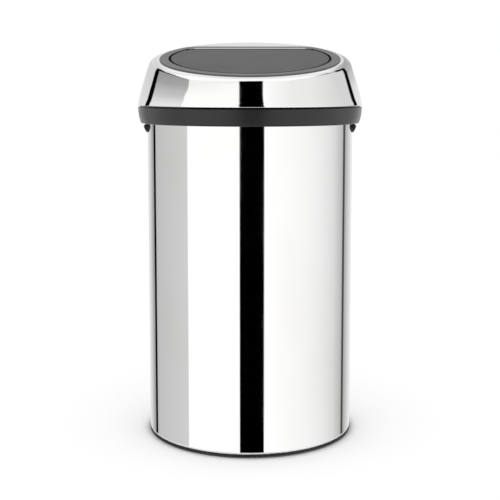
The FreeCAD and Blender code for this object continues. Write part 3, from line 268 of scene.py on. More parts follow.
def plain_steel():
    material, tree, shader = finish("plain steel", Metallic=1.0)
    cloud = group(tree, HANDLING, Scale=60.0, Stretch=(1.0, 1.0, 1.0))["Mask"]
    tree.links.new(mix_colour(tree, cloud, *ZINC), shader.inputs["Base Color"])
    tree.links.new(remap(tree, cloud, 0.0, 1.0, *ZINC_ROUGHNESS), shader.inputs["Roughness"])
    return material


# %% [markdown]
# ### Moulded plastics
# One function makes all the plastics. They differ in tone, in how fine the etched grain is and in how
# much it shows. The grain's height drives a Bump node and a slow tone change keeps large faces from
# looking painted.

# %% Plastics
GRAIN_HEIGHT = 0.0002
HANDLED = (-0.012, 0.018)       # what handling takes from the roughness and adds to it
PLASTICS = {
    # darkest and lightest tone, roughness, grains per metre, strength of the bump, specular level
    "band_plastic": (grey(0.009), grey(0.012), 0.32, 1600.0, 0.06, 0.38),
    "lid_plastic": (grey(0.053), grey(0.058), 0.54, 1400.0, 0.14, 0.42),
    "bezel_plastic": (grey(0.112), grey(0.122), 0.50, 1400.0, 0.10, 0.42),
    "black_plastic": (grey(0.005), grey(0.008), 0.45, 1600.0, 0.12, 0.35),
    "inner_plastic": (grey(0.078), grey(0.092), 0.55, 1100.0, 0.15, 0.5),
    "bucket_plastic": (grey(0.135), grey(0.165), 0.50, 900.0, 0.12, 0.5),
    "white_plastic": (grey(0.70, 0.03), grey(0.77, 0.03), 0.40, 1500.0, 0.06, 0.5),
    "rubber": (grey(0.016), grey(0.024), 0.75, 2400.0, 0.25, 0.3),
}


def plastic(name, dark, light, rough, grains, bump, specular):
    material, tree, shader = finish(name, Specular_IOR_Level=specular)
    grain = group(tree, GRAIN, Grains_per_metre=grains)
    marks = group(tree, HANDLING, Scale=14.0, Stretch=(1.0, 1.0, 1.0))["Mask"]
    tree.links.new(mix_colour(tree, grain["Tone"], dark, light), shader.inputs["Base Color"])
    handled = remap(tree, marks, 0.0, 1.0, rough + HANDLED[0], rough + HANDLED[1])
    tree.links.new(handled, shader.inputs["Roughness"])
    relief = put(tree, "ShaderNodeBump", Strength=bump, Distance=GRAIN_HEIGHT, Height=grain["Height"])
    tree.links.new(relief.outputs[0], shader.inputs["Normal"])
    return material


# %% [markdown]
# The band gets some sheen as well: its plastic turns lighter towards the sides of the bin.

# %% All finishes
BAND_SHEEN = {"Sheen Weight": 0.22, "Sheen Roughness": 0.55}

FINISHES = {"polished_steel": polished_steel(), "plain_steel": plain_steel()}
for name, values in PLASTICS.items():
    FINISHES[name] = plastic(name.replace("_", " "), *values)
for name, value in BAND_SHEEN.items():
    shader_of(FINISHES["band_plastic"]).inputs[name].default_value = value
print("finishes:", ", ".join(FINISHES))

# %% [markdown]
# ## Dress the CAD pieces
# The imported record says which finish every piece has. A CAD piece is never moved or reshaped here, it
# only gets the finish of its slot.

# %% Assign finishes
slot_of = {part["node"]: part["material_slot"] for part in frame["record"]["subparts"]}
for name, node in nodes.items():
    node.data.materials.clear()
    node.data.materials.append(FINISHES[slot_of[name]])
print("dressed:", len(slot_of), "pieces")

# %% [markdown]
# ### Painted shade in the gaps and painted light on the hinge bar
# Shade that falls into the gaps between mouldings is painted in as black lines: in the groove over the
# band, under the band's lip, and down the sides of the gap round the flap. The bar behind the flap gets
# a painted highlight on its front half and painted shade on its rear half. The masks need a height and a
# depth, so the band's height and the plane of the lid are measured from the solids first.

# %% Measure the band, the steel and the lid's plane
FACES_UP = 0.9          # upward part of a face's normal on a top


def points_of(name):
    mesh = nodes[name].data
    flat = np.empty(len(mesh.vertices) * 3)
    mesh.vertices.foreach_get("co", flat)
    return flat.reshape(-1, 3)


def top_plane(name):
    """Normal and distance of the large flat top of a piece."""
    faces = [face for face in nodes[name].data.polygons if face.normal.z > FACES_UP]
    largest = max(faces, key=lambda face: face.area)
    return largest.normal.copy(), largest.normal.dot(largest.center)


band_heights = points_of("lid_band")[:, 2]
band_low, band_high = float(band_heights.min()), float(band_heights.max())
steel_low = float(points_of("body_shell")[:, 2].min())
lid_normal, lid_height = top_plane("flap_cover")
lid_tilt = math.degrees(lid_normal.angle(Vector((0.0, 0.0, 1.0))))
slope = Vector((0.0, lid_normal.z, -lid_normal.y))
print("band from", round(band_low, 4), "to", round(band_high, 4), "m, steel from", round(steel_low, 4), "m")
print("lid tilts", round(lid_tilt, 1), "degrees")

# %% Colours laid over a finish
# black painted where shade falls in gaps and grooves
PAINTED_SHADE_BLACK = grey(0.001)


def along(tree, direction):
    """How far a point of the surface lies along a direction."""
    return vector_node(tree, "DOT_PRODUCT", object_point(tree), tuple(direction))["Value"]


def recolour(material, mask, colour):
    """Lays a colour over the base colour where the mask is 1."""
    tree = material.node_tree
    base = shader_of(material).inputs["Base Color"]
    tree.links.new(mix_colour(tree, mask, base.links[0].from_socket, colour), base)


def paint_shade_black(material, masks):
    """Painted shade: black without gloss where the mask is 1. A black metal mirrors nothing, so the mask
    drives Metallic as well.
    """
    tree = material.node_tree
    mask = masks[0]
    for other in masks[1:]:
        mask = math_node(tree, "MAXIMUM", mask, other)
    recolour(material, mask, PAINTED_SHADE_BLACK)
    tree.links.new(mask, shader_of(material).inputs["Metallic"])


# %% Painted shade: black groove and lip of the band
GROOVE = 0.0030             # height of the groove, metres
GROOVE_BLUR = 0.0002
LIP = 0.0016                # height of the lip's dark edge
LIP_BLUR = 0.0004
UP = (0.0, 0.0, 1.0)


def paint_band_shade():
    material = FINISHES["band_plastic"]
    tree = material.node_tree
    height = along(tree, UP)
    groove = step_up(tree, height, band_high - GROOVE - GROOVE_BLUR, band_high - GROOVE)
    lip = step_down(tree, height, band_low + LIP, band_low + LIP + LIP_BLUR)
    # painted shade: the groove over the band and the band's lowest edge are painted black
    paint_shade_black(material, [groove, lip])


paint_band_shade()

# %% [markdown]
# The rolled lower edge of the steel is only sanded, so it shows as a pale line above the black foot
# ring. There the roughness goes up.

# %% Sanded edge of the steel
SANDED = 0.0042             # height of the edge, metres
SANDED_BLUR = 0.0006
SANDED_ROUGHNESS = 0.75


def dress_steel():
    material = FINISHES["polished_steel"]
    tree = material.node_tree
    sanded = step_down(tree, along(tree, UP), steel_low + SANDED - SANDED_BLUR, steel_low + SANDED)
    roughness = shader_of(material).inputs["Roughness"]
    rubbed = math_node(tree, "MULTIPLY", sanded, SANDED_ROUGHNESS)
    tree.links.new(math_node(tree, "MAXIMUM", roughness.links[0].from_socket, rubbed), roughness)


dress_steel()

# %% [markdown]
# The bezel's masks work in the plane of the lid. `run` goes up the slope, and `out` is the distance
# from the middle of the mouth. The bar's front half gets a painted highlight, and its rear half, which
# falls away, gets painted shade. Painted shade also makes black what lies under the lid's plane inside
# the mouth, a thin rim round the mouth, and the sides of the flap.

# %% Places on the bezel
BEZEL_WIDTH = 0.018
BAR_WIDTH = 0.034
BAR_HALF_LENGTH = 0.1085
BAR_HIGHLIGHT_SHARE = 0.46      # the part of the bar's width that is light

mouth = Vector((0.0, 0.0, lid_height / lid_normal.z))
bezel_points = points_of("lid_bezel")
bezel_runs = bezel_points @ np.array(slope)
bezel_outs = np.hypot(bezel_points[:, 0], bezel_runs - slope.dot(mouth))
mouth_radius = float(bezel_outs.max()) - BEZEL_WIDTH
bar_rear = float(bezel_runs.max())
bar_front = bar_rear - BAR_WIDTH
bar_fold = bar_front + BAR_HIGHLIGHT_SHARE * BAR_WIDTH
print("mouth radius", round(mouth_radius, 4), "bar from", round(bar_front, 4), "to", round(bar_rear, 4))

# %% Painted highlight and shade on the bezel and the flap
# painted highlight on the bar's front half, painted shade on its rear half, which falls away
PAINTED_BAR_HIGHLIGHT = 0.38
PAINTED_BAR_SHADE = 0.02
BAR_BLUR = 0.001
BAR_END_BLUR = 0.002
BAR_GAP = (0.0006, 0.0002)  # the black rim fades out over this distance before the bar
# painted shade: a black rim round the mouth, and black below the lid's plane inside it
RIM = 0.0012                # width of the black rim round the mouth
RIM_BLUR = 0.0003
GAP_DEPTH = (0.0003, 0.0006)


def deep(tree):
    """1 below the lid's plane."""
    depth = math_node(tree, "SUBTRACT", lid_height, along(tree, lid_normal))
    return step_up(tree, depth, *GAP_DEPTH)


def paint_bezel_light_and_shade():
    material = FINISHES["bezel_plastic"]
    tree = material.node_tree
    run = along(tree, slope)
    across = along(tree, (1.0, 0.0, 0.0))
    past_middle = math_node(tree, "SUBTRACT", run, slope.dot(mouth))
    place = put(tree, "ShaderNodeCombineXYZ", X=across, Y=past_middle).outputs[0]
    out = vector_node(tree, "LENGTH", place)["Value"]
    on_bar = near(tree, across, 0.0, BAR_HALF_LENGTH, BAR_END_BLUR)
    # painted highlight on the front half of the bar, painted shade on its rear half
    for low, high, level in ((bar_front, bar_fold, PAINTED_BAR_HIGHLIGHT), (bar_fold, bar_rear, PAINTED_BAR_SHADE)):
        half = between(tree, run, low, high, BAR_BLUR)
        recolour(material, math_node(tree, "MULTIPLY", half, on_bar), grey(level))
    # painted shade: black on the rim round the mouth and on the throat below the lid's plane
    inside = step_down(tree, out, mouth_radius + RIM, mouth_radius + RIM + RIM_BLUR)
    before_bar = step_down(tree, run, bar_front - BAR_GAP[0], bar_front - BAR_GAP[1])
    paint_shade_black(material, [math_node(tree, "MULTIPLY", inside, mask) for mask in (before_bar, deep(tree))])


paint_bezel_light_and_shade()
# painted shade on the sides of the flap, below the lid's plane
paint_shade_black(FINISHES["lid_plastic"], [deep(FINISHES["lid_plastic"].node_tree)])

# %% [markdown]
# ## Fasteners
# Pan-head screws with a cross recess hold the bin together, and domed rivets hold the side grips. Most
# of them show only when the flap opens or the lid comes off. The solids have them as plain heads on
# plain shanks. One screw could be modelled by hand and copied, but a Geometry Nodes tree makes all of
# them from one rule with named sizes. What it needs is a point and a direction for each fastener, and
# those are measured from the solids.

# %% Separate the solids of a node
SAME_POINT = 1e-6       # points this near are one, metres


def islands(mesh):
    """Points of each separate solid in a mesh, in the mesh's own order."""
    form = bmesh.new()
    form.from_mesh(mesh)
    bmesh.ops.remove_doubles(form, verts=form.verts, dist=SAME_POINT)
    found = []
    for seed in form.verts:
        if seed.tag:
            continue
        seed.tag = True
        queue = [seed]
        points = []
        while queue:
            vert = queue.pop()
            points.append(tuple(vert.co))
            for edge in vert.link_edges:
                other = edge.other_vert(vert)
                if not other.tag:
                    other.tag = True
                    queue.append(other)
        found.append(np.array(points))
    form.free()
    return found


# %% [markdown]
# A turned solid spreads equally in two directions and differently in the third, which is its axis.
# Along that axis the widest points are the head, and what lies below their lowest edge is the shank.

# %% Measure one fastener
HEAD_SHARE = 0.95       # points this near to the greatest radius belong to the head
SEAT_SLACK = 1e-5


def measure(points):
    """Seat, axis and sizes of a head on a shank."""
    centre = points.mean(axis=0)
    spread, axes = np.linalg.eigh(np.cov((points - centre).T))
    axis = axes[:, 2] if spread[2] - spread[1] > spread[1] - spread[0] else axes[:, 0]
    height = (points - centre) @ axis
    out = np.linalg.norm(points - centre - np.outer(height, axis), axis=1)
    wide = out > HEAD_SHARE * out.max()
    if height[wide].mean() < (height.min() + height.max()) / 2:
        axis = -axis
        height = -height
    seat = height[wide].min()
    below = height < seat - SEAT_SLACK
    return {
        "seat": centre + axis * seat,
        "axis": axis,
        "head radius": out.max(),
        "head height": height.max() - seat,
        "shank radius": out[below].max(),
        "shank length": seat - height.min(),
    }


# %% [markdown]
# The tree starts from a cylinder with rings on its ends. Its top is pressed into a crown that falls
# with the fourth power of the distance from the middle, so it stays flat where the driver sits. Two
# crossed bars are cut out of a screw's head and none out of a rivet's. Heads and shanks are set on the
# points, each turned to its axis and then about it by a random angle, as screws end up at any angle.

# %% Tree: a head and its recess
HEAD_SIDES = 32
HEAD_RINGS = 5
CROWN_POWER = 4.0
RECESS_LENGTH = 1.10        # of the head's radius
RECESS_WIDTH = 0.26         # of the head's radius
RECESS_BAR = 1.1            # of the head's height, half of it above the head


def head_of(tree, given):
    """Nodes for one head, which sits on its seat and points up."""
    radius = given["Head radius"]
    height = given["Head height"]
    blank = put(tree, "GeometryNodeMeshCylinder", {"fill_type": "TRIANGLE_FAN"}, Vertices=HEAD_SIDES,
                Fill_Segments=HEAD_RINGS, Radius=radius, Depth=height).outputs["Mesh"]
    position = put(tree, "GeometryNodeInputPosition").outputs[0]
    place = put(tree, "ShaderNodeSeparateXYZ", Vector=position).outputs
    flat = put(tree, "ShaderNodeCombineXYZ", X=place[0], Y=place[1]).outputs[0]
    out = vector_node(tree, "LENGTH", flat)["Value"]
    share = math_node(tree, "POWER", math_node(tree, "DIVIDE", out, radius), CROWN_POWER)
    top = math_node(tree, "GREATER_THAN", place[2], 0.0)
    fall = math_node(tree, "MULTIPLY", math_node(tree, "MULTIPLY", share, top),
                     math_node(tree, "MULTIPLY", height, given["Crown"]))
    drop = put(tree, "ShaderNodeCombineXYZ", Z=math_node(tree, "MULTIPLY", fall, -1.0)).outputs[0]
    crowned = put(tree, "GeometryNodeSetPosition", Geometry=blank, Offset=drop).outputs[0]
    cut = put(tree, "GeometryNodeMeshBoolean", {"operation": "DIFFERENCE"}, i0=crowned)
    long_side = math_node(tree, "MULTIPLY", radius, RECESS_LENGTH)
    short_side = math_node(tree, "MULTIPLY", radius, RECESS_WIDTH)
    upright = math_node(tree, "MULTIPLY", height, RECESS_BAR)
    half_up = put(tree, "ShaderNodeCombineXYZ", Z=math_node(tree, "MULTIPLY", height, 0.5)).outputs[0]
    for width, depth in ((long_side, short_side), (short_side, long_side)):
        size = put(tree, "ShaderNodeCombineXYZ", X=width, Y=depth, Z=upright).outputs[0]
        bar = put(tree, "GeometryNodeMeshCube", Size=size).outputs["Mesh"]
        bar = put(tree, "GeometryNodeTransform", Geometry=bar, Translation=half_up).outputs[0]
        tree.links.new(bar, cut.inputs["Mesh 2"])
    head = put(tree, "GeometryNodeSwitch", {"input_type": "GEOMETRY"}, Switch=given["Cross recess"],
               i1=crowned, i2=cut.outputs["Mesh"]).outputs[0]
    return put(tree, "GeometryNodeTransform", Geometry=head, Translation=half_up).outputs[0]


# %% Tree: turns and shading
TURN_SEED = 5
SHARP_EDGE = 0.55           # radians


def stored(tree, kind, name):
    """A value that each point carries."""
    return put(tree, "GeometryNodeInputNamedAttribute", {"data_type": kind}, Name=name).outputs[0]


def any_turn(tree):
    """Rotation to the point's axis and by a random angle about it."""
    upright = put(tree, "FunctionNodeAlignRotationToVector", {"axis": "Z"},
                  Vector=stored(tree, "FLOAT_VECTOR", "axis")).outputs[0]
    chance = put(tree, "FunctionNodeRandomValue", {"data_type": "FLOAT"}, i2=0.0, i3=math.pi / 2,
                 Seed=TURN_SEED).outputs[1]
    angles = put(tree, "ShaderNodeCombineXYZ", Z=chance).outputs[0]
    about = put(tree, "FunctionNodeEulerToRotation", Euler=angles).outputs[0]
    return put(tree, "FunctionNodeRotateRotation", {"rotation_space": "LOCAL"}, Rotation=upright,
               Rotate_By=about).outputs[0]


def shaded(tree, form):
    """Smooth faces with sharp edges where they meet at an angle."""
    smooth = put(tree, "GeometryNodeSetShadeSmooth", {"domain": "FACE"}, Geometry=form,
                 Shade_Smooth=True).outputs[0]
    bend = put(tree, "GeometryNodeInputMeshEdgeAngle").outputs[0]
    sharp = put(tree, "FunctionNodeCompare", {"data_type": "FLOAT", "operation": "GREATER_THAN"}, i0=bend,
                i1=SHARP_EDGE).outputs[0]
    return put(tree, "GeometryNodeSetShadeSmooth", {"domain": "EDGE"}, Geometry=smooth, Selection=sharp,
               Shade_Smooth=False).outputs[0]


# %% Tree: heads and shanks on points
SHANK_SIDES = 20
FASTENER_SOCKETS = {
    "Places": "Geometry",
    "Head radius": "Float",
    "Head height": "Float",
    "Shank radius": "Float",
    "Crown": "Float",
    "Cross recess": "Bool",
    "Finish": "Material",
}


def fastener_tree():
    tree = bpy.data.node_groups.new("fasteners", "GeometryNodeTree")
    for name, kind in FASTENER_SOCKETS.items():
        tree.interface.new_socket(name, in_out="INPUT", socket_type="NodeSocket" + kind)
    tree.interface.new_socket("Fasteners", in_out="OUTPUT", socket_type="NodeSocketGeometry")
    given = put(tree, "NodeGroupInput").outputs
    turn = any_turn(tree)
    heads = put(tree, "GeometryNodeInstanceOnPoints", Points=given["Places"], Instance=head_of(tree, given),
                Rotation=turn).outputs[0]
    rod = put(tree, "GeometryNodeMeshCylinder", Vertices=SHANK_SIDES, Radius=given["Shank radius"],
              Depth=1.0).outputs["Mesh"]
    rod = put(tree, "GeometryNodeTransform", Geometry=rod, Translation=(0.0, 0.0, -0.5)).outputs[0]
    length = stored(tree, "FLOAT", "shank length")
    stretch = put(tree, "ShaderNodeCombineXYZ", X=1.0, Y=1.0, Z=length).outputs[0]
    shanks = put(tree, "GeometryNodeInstanceOnPoints", Points=given["Places"], Instance=rod, Rotation=turn,
                 Scale=stretch).outputs[0]
    joined = put(tree, "GeometryNodeJoinGeometry")
    tree.links.new(heads, joined.inputs[0])
    tree.links.new(shanks, joined.inputs[0])
    real = put(tree, "GeometryNodeRealizeInstances", Geometry=joined.outputs[0]).outputs[0]
    made = put(tree, "GeometryNodeSetMaterial", Geometry=shaded(tree, real), Material=given["Finish"])
    put(tree, "NodeGroupOutput", Fasteners=made.outputs[0])
    return tree


FASTENERS = fastener_tree()

# %% [markdown]
# For each fastener node a mesh of bare points carries the axis and the shank's length, the tree makes
# the fasteners on it, and the result becomes a plain mesh that takes the node's place on its body.

# %% Points that carry a direction


def points_mesh(name, found):
    mesh = bpy.data.meshes.new(name)
    mesh.from_pydata([one["seat"].tolist() for one in found], [], [])
    axes = mesh.attributes.new("axis", "FLOAT_VECTOR", "POINT")
    axes.data.foreach_set("vector", np.concatenate([one["axis"] for one in found]).tolist())
    lengths = mesh.attributes.new("shank length", "FLOAT", "POINT")
    lengths.data.foreach_set("value", [float(one["shank length"]) for one in found])
    return mesh


def final_mesh(holder):
    """The mesh that an object comes to with its settings applied. The object itself is removed."""
    scene.collection.objects.link(holder)
    graph = bpy.context.evaluated_depsgraph_get()
    mesh = bpy.data.meshes.new_from_object(holder.evaluated_get(graph))
    bpy.data.objects.remove(holder)
    return mesh


def add_piece(name, mesh):
    piece = bpy.data.objects.new(name, mesh)
    scene.collection.objects.link(piece)
    return piece


# %% Make the fasteners
SCREWS = ("base_screws", "band_screws", "frame_screws", "damper_screws", "catch_screws", "flap_screws")
SCREW_CROWN = 0.35          # fall of the crown at the rim, of the head's height
RIVET_CROWN = 0.8

body_of = {name: body for body, names in frame["record"]["behaviour"]["bodies"].items() for name in names}


def dress_fasteners(node, recess, crown):
    found = [measure(points) for points in islands(nodes[node].data)]
    values = {"Crown": crown, "Cross recess": recess, "Finish": FINISHES[slot_of[node]]}
    for name in ("Head radius", "Head height", "Shank radius"):
        values[name] = float(found[0][name.lower()])
    holder = bpy.data.objects.new(node + "_points", points_mesh(node + "_points", found))
    modifier = holder.modifiers.new("fasteners", "NODES")
    modifier.node_group = FASTENERS
    for item in FASTENERS.interface.items_tree:
        if item.in_out == "INPUT" and item.name in values:
            modifier[item.identifier] = values[item.name]
    piece = add_piece(node + "_finished", final_mesh(holder))
    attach(piece, body_of[node])
    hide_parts(node)
    head = round(values["Head radius"] * 2000, 1)
    print(node, len(found), "made, heads", head, "mm,", len(piece.data.polygons), "faces")


for node in SCREWS:
    dress_fasteners(node, True, SCREW_CROWN)
dress_fasteners("grip_rivets", False, RIVET_CROWN)

# %% [markdown]
# ## The opening spring
# A torsion spring sits round the left hinge pin. Its front leg lifts the flap and its rear leg bears on
# the lid, so the real wire twists as the flap opens. Here the wire is drawn once, in its rest shape, in
# place of the rigid solid. The drawn wire has one turn less than the solid, which keeps its rear leg
# clear of the flap's rear corner.

# %% Wire of the spring
WIRE_RADIUS = 0.0005
COIL_RADIUS = 0.0025
COIL_PITCH = 0.0019
COIL_TURNS = 8.15
COIL_STEPS = 24             # points for each turn
FRONT_LEG = 0.0120
REAR_LEG = 0.0076


def coil_way(turn):
    """Direction of the wire after some turns."""
    angle = 2 * math.pi * turn
    across = slope * math.cos(angle) - lid_normal * math.sin(angle)
    return (Vector((COIL_PITCH, 0.0, 0.0)) + across * (2 * math.pi * COIL_RADIUS)).normalized()


def coil_place(start, turn):
    """Middle of the wire after some turns. The coil starts at its top."""
    angle = 2 * math.pi * turn
    out = lid_normal * math.cos(angle) + slope * math.sin(angle)
    return start + Vector((COIL_PITCH * turn, 0.0, 0.0)) + out * COIL_RADIUS


def tube(name, places, radius):
    """A mesh tube through the places."""
    curve = bpy.data.curves.new(name, "CURVE")
    curve.dimensions = "3D"
    curve.bevel_depth = radius
    curve.bevel_resolution = 2
    curve.use_fill_caps = True
    spline = curve.splines.new("POLY")
    spline.points.add(len(places) - 1)
    for point, place in zip(spline.points, places):
        point.co = (*place, 1.0)
    mesh = final_mesh(bpy.data.objects.new(name, curve))
    mesh.polygons.foreach_set("use_smooth", [True] * len(mesh.polygons))
    return mesh


# %% [markdown]
# The pin's box gives the hinge line, and the solid spring's box says where its front leg starts. The
# leg drifts along the hinge as the coil does.

# %% Make the spring
pin_low, pin_high = (Vector(corner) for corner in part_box("left_hinge_pin"))
coil_start = (pin_low + pin_high) / 2
coil_start.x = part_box("opening_spring")[0][0] + WIRE_RADIUS + FRONT_LEG * coil_way(0.0).x
marks = np.linspace(0.0, COIL_TURNS, round(COIL_TURNS * COIL_STEPS) + 1)
wire = [coil_place(coil_start, float(mark)) for mark in marks]
wire.insert(0, wire[0] - coil_way(0.0) * FRONT_LEG)
wire.append(wire[-1] + coil_way(COIL_TURNS) * REAR_LEG)
spring = add_piece("opening_spring_finished", tube("opening_spring_finished", wire, WIRE_RADIUS))
spring.data.materials.append(FINISHES[slot_of["opening_spring"]])
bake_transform(spring)
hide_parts("opening_spring")

# %% [markdown]
# ## The studio
# A mirror shows what stands round it, so polished steel is lit by what it reflects. The photo's
# reflections are upright: a black strip in the middle, white panels beside it, a grey panel to the left
# and a slow fall to grey on the right, each edged by a thin dark line. They run straight down the body
# and lean inwards on the dome. Panels could be real planes, but on a curved dome their edges would bow.
# So the sky is drawn in the direction in which the steel itself faces: half way between a mirrored ray
# and a ray back to a viewer in front of the bin.

# %% Which way the steel faces
LEAN_IN = 0.28              # how much the panels' edges lean inwards as the steel faces up
LEAN_CENTRE = -3.0          # the angle that stays where it is, degrees
OVER_ONE = 1.001            # keeps a root above 0


def facing(tree):
    """Angle round the bin in degrees, upward part of the facing direction, and the ray's own parts."""
    ray = put(tree, "ShaderNodeTexCoord").outputs["Generated"]
    parts = put(tree, "ShaderNodeSeparateXYZ", Vector=ray).outputs
    fall = math_node(tree, "MINIMUM", parts[2], 0.0)
    fall_squared = math_node(tree, "MULTIPLY", fall, fall)
    level = math_node(tree, "SQRT", math_node(tree, "SUBTRACT", OVER_ONE, fall_squared))
    viewer = put(tree, "ShaderNodeCombineXYZ", Y=level).outputs[0]
    half = vector_node(tree, "SUBTRACT", ray, viewer)[0]
    out = put(tree, "ShaderNodeSeparateXYZ", Vector=vector_node(tree, "NORMALIZE", half)[0]).outputs
    angle = math_node(tree, "ARCTAN2", out[0], math_node(tree, "MULTIPLY", out[1], -1.0))
    turn = math_node(tree, "MULTIPLY_ADD", angle, 180.0 / math.pi, -LEAN_CENTRE)
    lean = math_node(tree, "MULTIPLY_ADD", math_node(tree, "MAXIMUM", out[2], 0.0), LEAN_IN, 1.0)
    return math_node(tree, "MULTIPLY_ADD", turn, lean, LEAN_CENTRE), out[2], parts


# %% [markdown]
# A colour ramp is stored as a short table, which blurs sharp edges. So ramps hold only the slow
# changes, and the strip, the lines and the panel's edge are masks made with Map Range nodes.

# %% Ramps
CLIMB_SHARE = 0.8           # brings a climb, which runs past 1 on the shoulder, into a ramp


def level_ramp(tree, share, stops):
    """Brightness by a share from 0 to 1."""
    ramp = put(tree, "ShaderNodeValToRGB", Fac=share)
    elements = ramp.color_ramp.elements
    while len(elements) < len(stops):
        elements.new(0.5)
    for element, (place, level) in zip(elements, stops):
        element.position = place
        element.color = grey(level)
    return ramp.outputs[0]


def panel_ramp(tree, turn, stops):
    """Brightness by the angle round the bin, in degrees from -90 to 90."""
    share = math_node(tree, "MULTIPLY_ADD", turn, 1.0 / 180.0, 0.5)
    return level_ramp(tree, share, [(angle / 180 + 0.5, level) for angle, level in stops])


def fade(tree, climb, stops):
    """Brightness by the climb."""
    share = math_node(tree, "MULTIPLY", climb, CLIMB_SHARE)
    return level_ramp(tree, share, [(place * CLIMB_SHARE, level) for place, level in stops])


# %% [markdown]
# Upright steel and the leaning wall of the dome see the same panels. The wall faces up a little more
# towards its top, and more in front than at the sides. `climb` takes that out: it is about 1 at the top
# of the wall all round. Towards the top the panels get darker, the left one most of all.

# %% Levels of the panels
OUTER_LEFT = -66.6          # middle of the left line on the body, degrees
PANEL_EDGE = -36.3
OUTER_RIGHT = 64.6
STRIP = (-5.6, 7.7)
DOME_SHIFT = (0.0, 5.9)     # how far the outer lines stand to the right on the dome

# by the angle
BODY_LEFT = [(-90, 0.92), (-76, 0.74), (OUTER_LEFT - 2, 0.34), (OUTER_LEFT + 1, 0.52), (-62, 0.58),
             (PANEL_EDGE, 0.69)]
BODY_RIGHT = [(8, 1.15), (20, 1.09), (33, 1.02), (42, 0.94), (49, 0.85), (54, 0.77), (57, 0.67),
              (60, 0.60), (63, 0.50), (OUTER_RIGHT + 2, 0.45), (71, 0.64), (78, 0.86), (90, 0.92)]
DOME_RIGHT = [(-34, 1.11), (8, 1.11), (14, 1.03), (24, 0.925), (35, 0.91), (42, 0.87), (50, 0.80),
              (59, 0.73), (70, 0.73), (90, 0.80)]
# by the climb
DOME_LEFT = [(0.53, 0.86), (0.66, 0.79), (0.74, 0.76), (0.80, 0.68), (0.86, 0.60), (0.92, 0.54),
             (0.96, 0.48), (0.985, 0.42), (1.02, 0.36)]
DOME_FRONT = [(0.86, 1.0), (0.93, 0.96), (0.97, 0.91), (1.0, 0.88)]
SIDE_LEFT = [(0.6, 0.80), (0.9, 0.74), (1.0, 0.70)]
SIDE_RIGHT = [(0.6, 0.85), (0.85, 0.80), (1.0, 0.62), (1.1, 0.50)]

# %% Panels of the wall
CLIMB_TOP = 0.651           # upward part of the facing direction at the top of the wall, in front
CLIMB_ASIDE = -0.0043       # its change for each degree to the side
CLIMB_LEAST = 0.2
FRONT_END = (7.0, 6.0)      # where the front's fade ends, and its blur, degrees
SIDE_BLUR = 0.5
PANEL_BLUR = 0.25
PANEL_DRIFT = -2.2          # how far the panel's edge stands to the left at the dome's foot, degrees
DRIFT_END = 0.83            # climb below which the drift is whole


def climb_of(tree, turn, rise):
    top = math_node(tree, "MULTIPLY_ADD", math_node(tree, "ABSOLUTE", turn), CLIMB_ASIDE, CLIMB_TOP)
    return math_node(tree, "DIVIDE", rise, math_node(tree, "MAXIMUM", top, CLIMB_LEAST))


def left_panels(tree, turn, climb, dome):
    inner = beyond(tree, turn, OUTER_LEFT + DOME_SHIFT[0], SIDE_BLUR)
    on_dome = mix_colour(tree, inner, fade(tree, climb, SIDE_LEFT), fade(tree, climb, DOME_LEFT))
    return mix_colour(tree, dome, panel_ramp(tree, turn, BODY_LEFT), on_dome)


def right_panels(tree, turn, climb, dome):
    front = mix_colour(tree, beyond(tree, turn, *FRONT_END), fade(tree, climb, DOME_FRONT), grey(1.0))
    on_dome = vector_node(tree, "MULTIPLY", panel_ramp(tree, turn, DOME_RIGHT), front)[0]
    outer = beyond(tree, turn, OUTER_RIGHT + DOME_SHIFT[1], SIDE_BLUR)
    on_dome = mix_colour(tree, outer, on_dome, fade(tree, climb, SIDE_RIGHT))
    return mix_colour(tree, dome, panel_ramp(tree, turn, BODY_RIGHT), on_dome)


def wall_panels(tree, turn, rise, dome):
    climb = climb_of(tree, turn, rise)
    drift = math_node(tree, "MULTIPLY", remap(tree, climb, DRIFT_END, 1.0, PANEL_DRIFT, 0.0), dome)
    past_edge = beyond(tree, math_node(tree, "SUBTRACT", turn, drift), PANEL_EDGE, PANEL_BLUR)
    return mix_colour(tree, past_edge, left_panels(tree, turn, climb, dome),
                      right_panels(tree, turn, climb, dome))


# %% [markdown]
# The strip is as wide on the dome as on the body, while the outer lines get wider there. On the body
# the right line isn't quite black.

# %% Strip and lines
STRIP_BLUR = 0.15
DOME_NARROWING = -0.42      # change of an offset's scale on the dome, which widens the lines
LEFT_LINE = (1.5, 0.35)     # half width and blur, degrees
RIGHT_LINE = (1.4, 0.49)
RIGHT_STRENGTH = 0.86       # of the right line on the body


def line_offset(tree, turn, dome, line, shift):
    """Degrees from the middle of an outer line."""
    middle = math_node(tree, "MULTIPLY_ADD", dome, shift, line)
    scale = math_node(tree, "MULTIPLY_ADD", dome, DOME_NARROWING, 1.0)
    return math_node(tree, "MULTIPLY", math_node(tree, "SUBTRACT", turn, middle), scale)


def dark_lines(tree, turn, dome):
    """Mask of the strip and of the two outer lines."""
    strip = near(tree, turn, sum(STRIP) / 2, (STRIP[1] - STRIP[0]) / 2, STRIP_BLUR)
    left = near(tree, line_offset(tree, turn, dome, OUTER_LEFT, DOME_SHIFT[0]), 0.0, *LEFT_LINE)
    right = near(tree, line_offset(tree, turn, dome, OUTER_RIGHT, DOME_SHIFT[1]), 0.0, *RIGHT_LINE)
    strength = math_node(tree, "MULTIPLY_ADD", dome, 1.0 - RIGHT_STRENGTH, RIGHT_STRENGTH)
    lines = math_node(tree, "MAXIMUM", left, math_node(tree, "MULTIPLY", right, strength))
    return math_node(tree, "MAXIMUM", strip, lines)


# %% [markdown]
# Above the wall comes the shoulder, which mirrors a bright crown. It starts lower in front of the left
# panel's edge than at the sides, and next to the outer lines a black edge runs along it and thins out
# towards the front. Steel that faces the sky sees an even light grey.

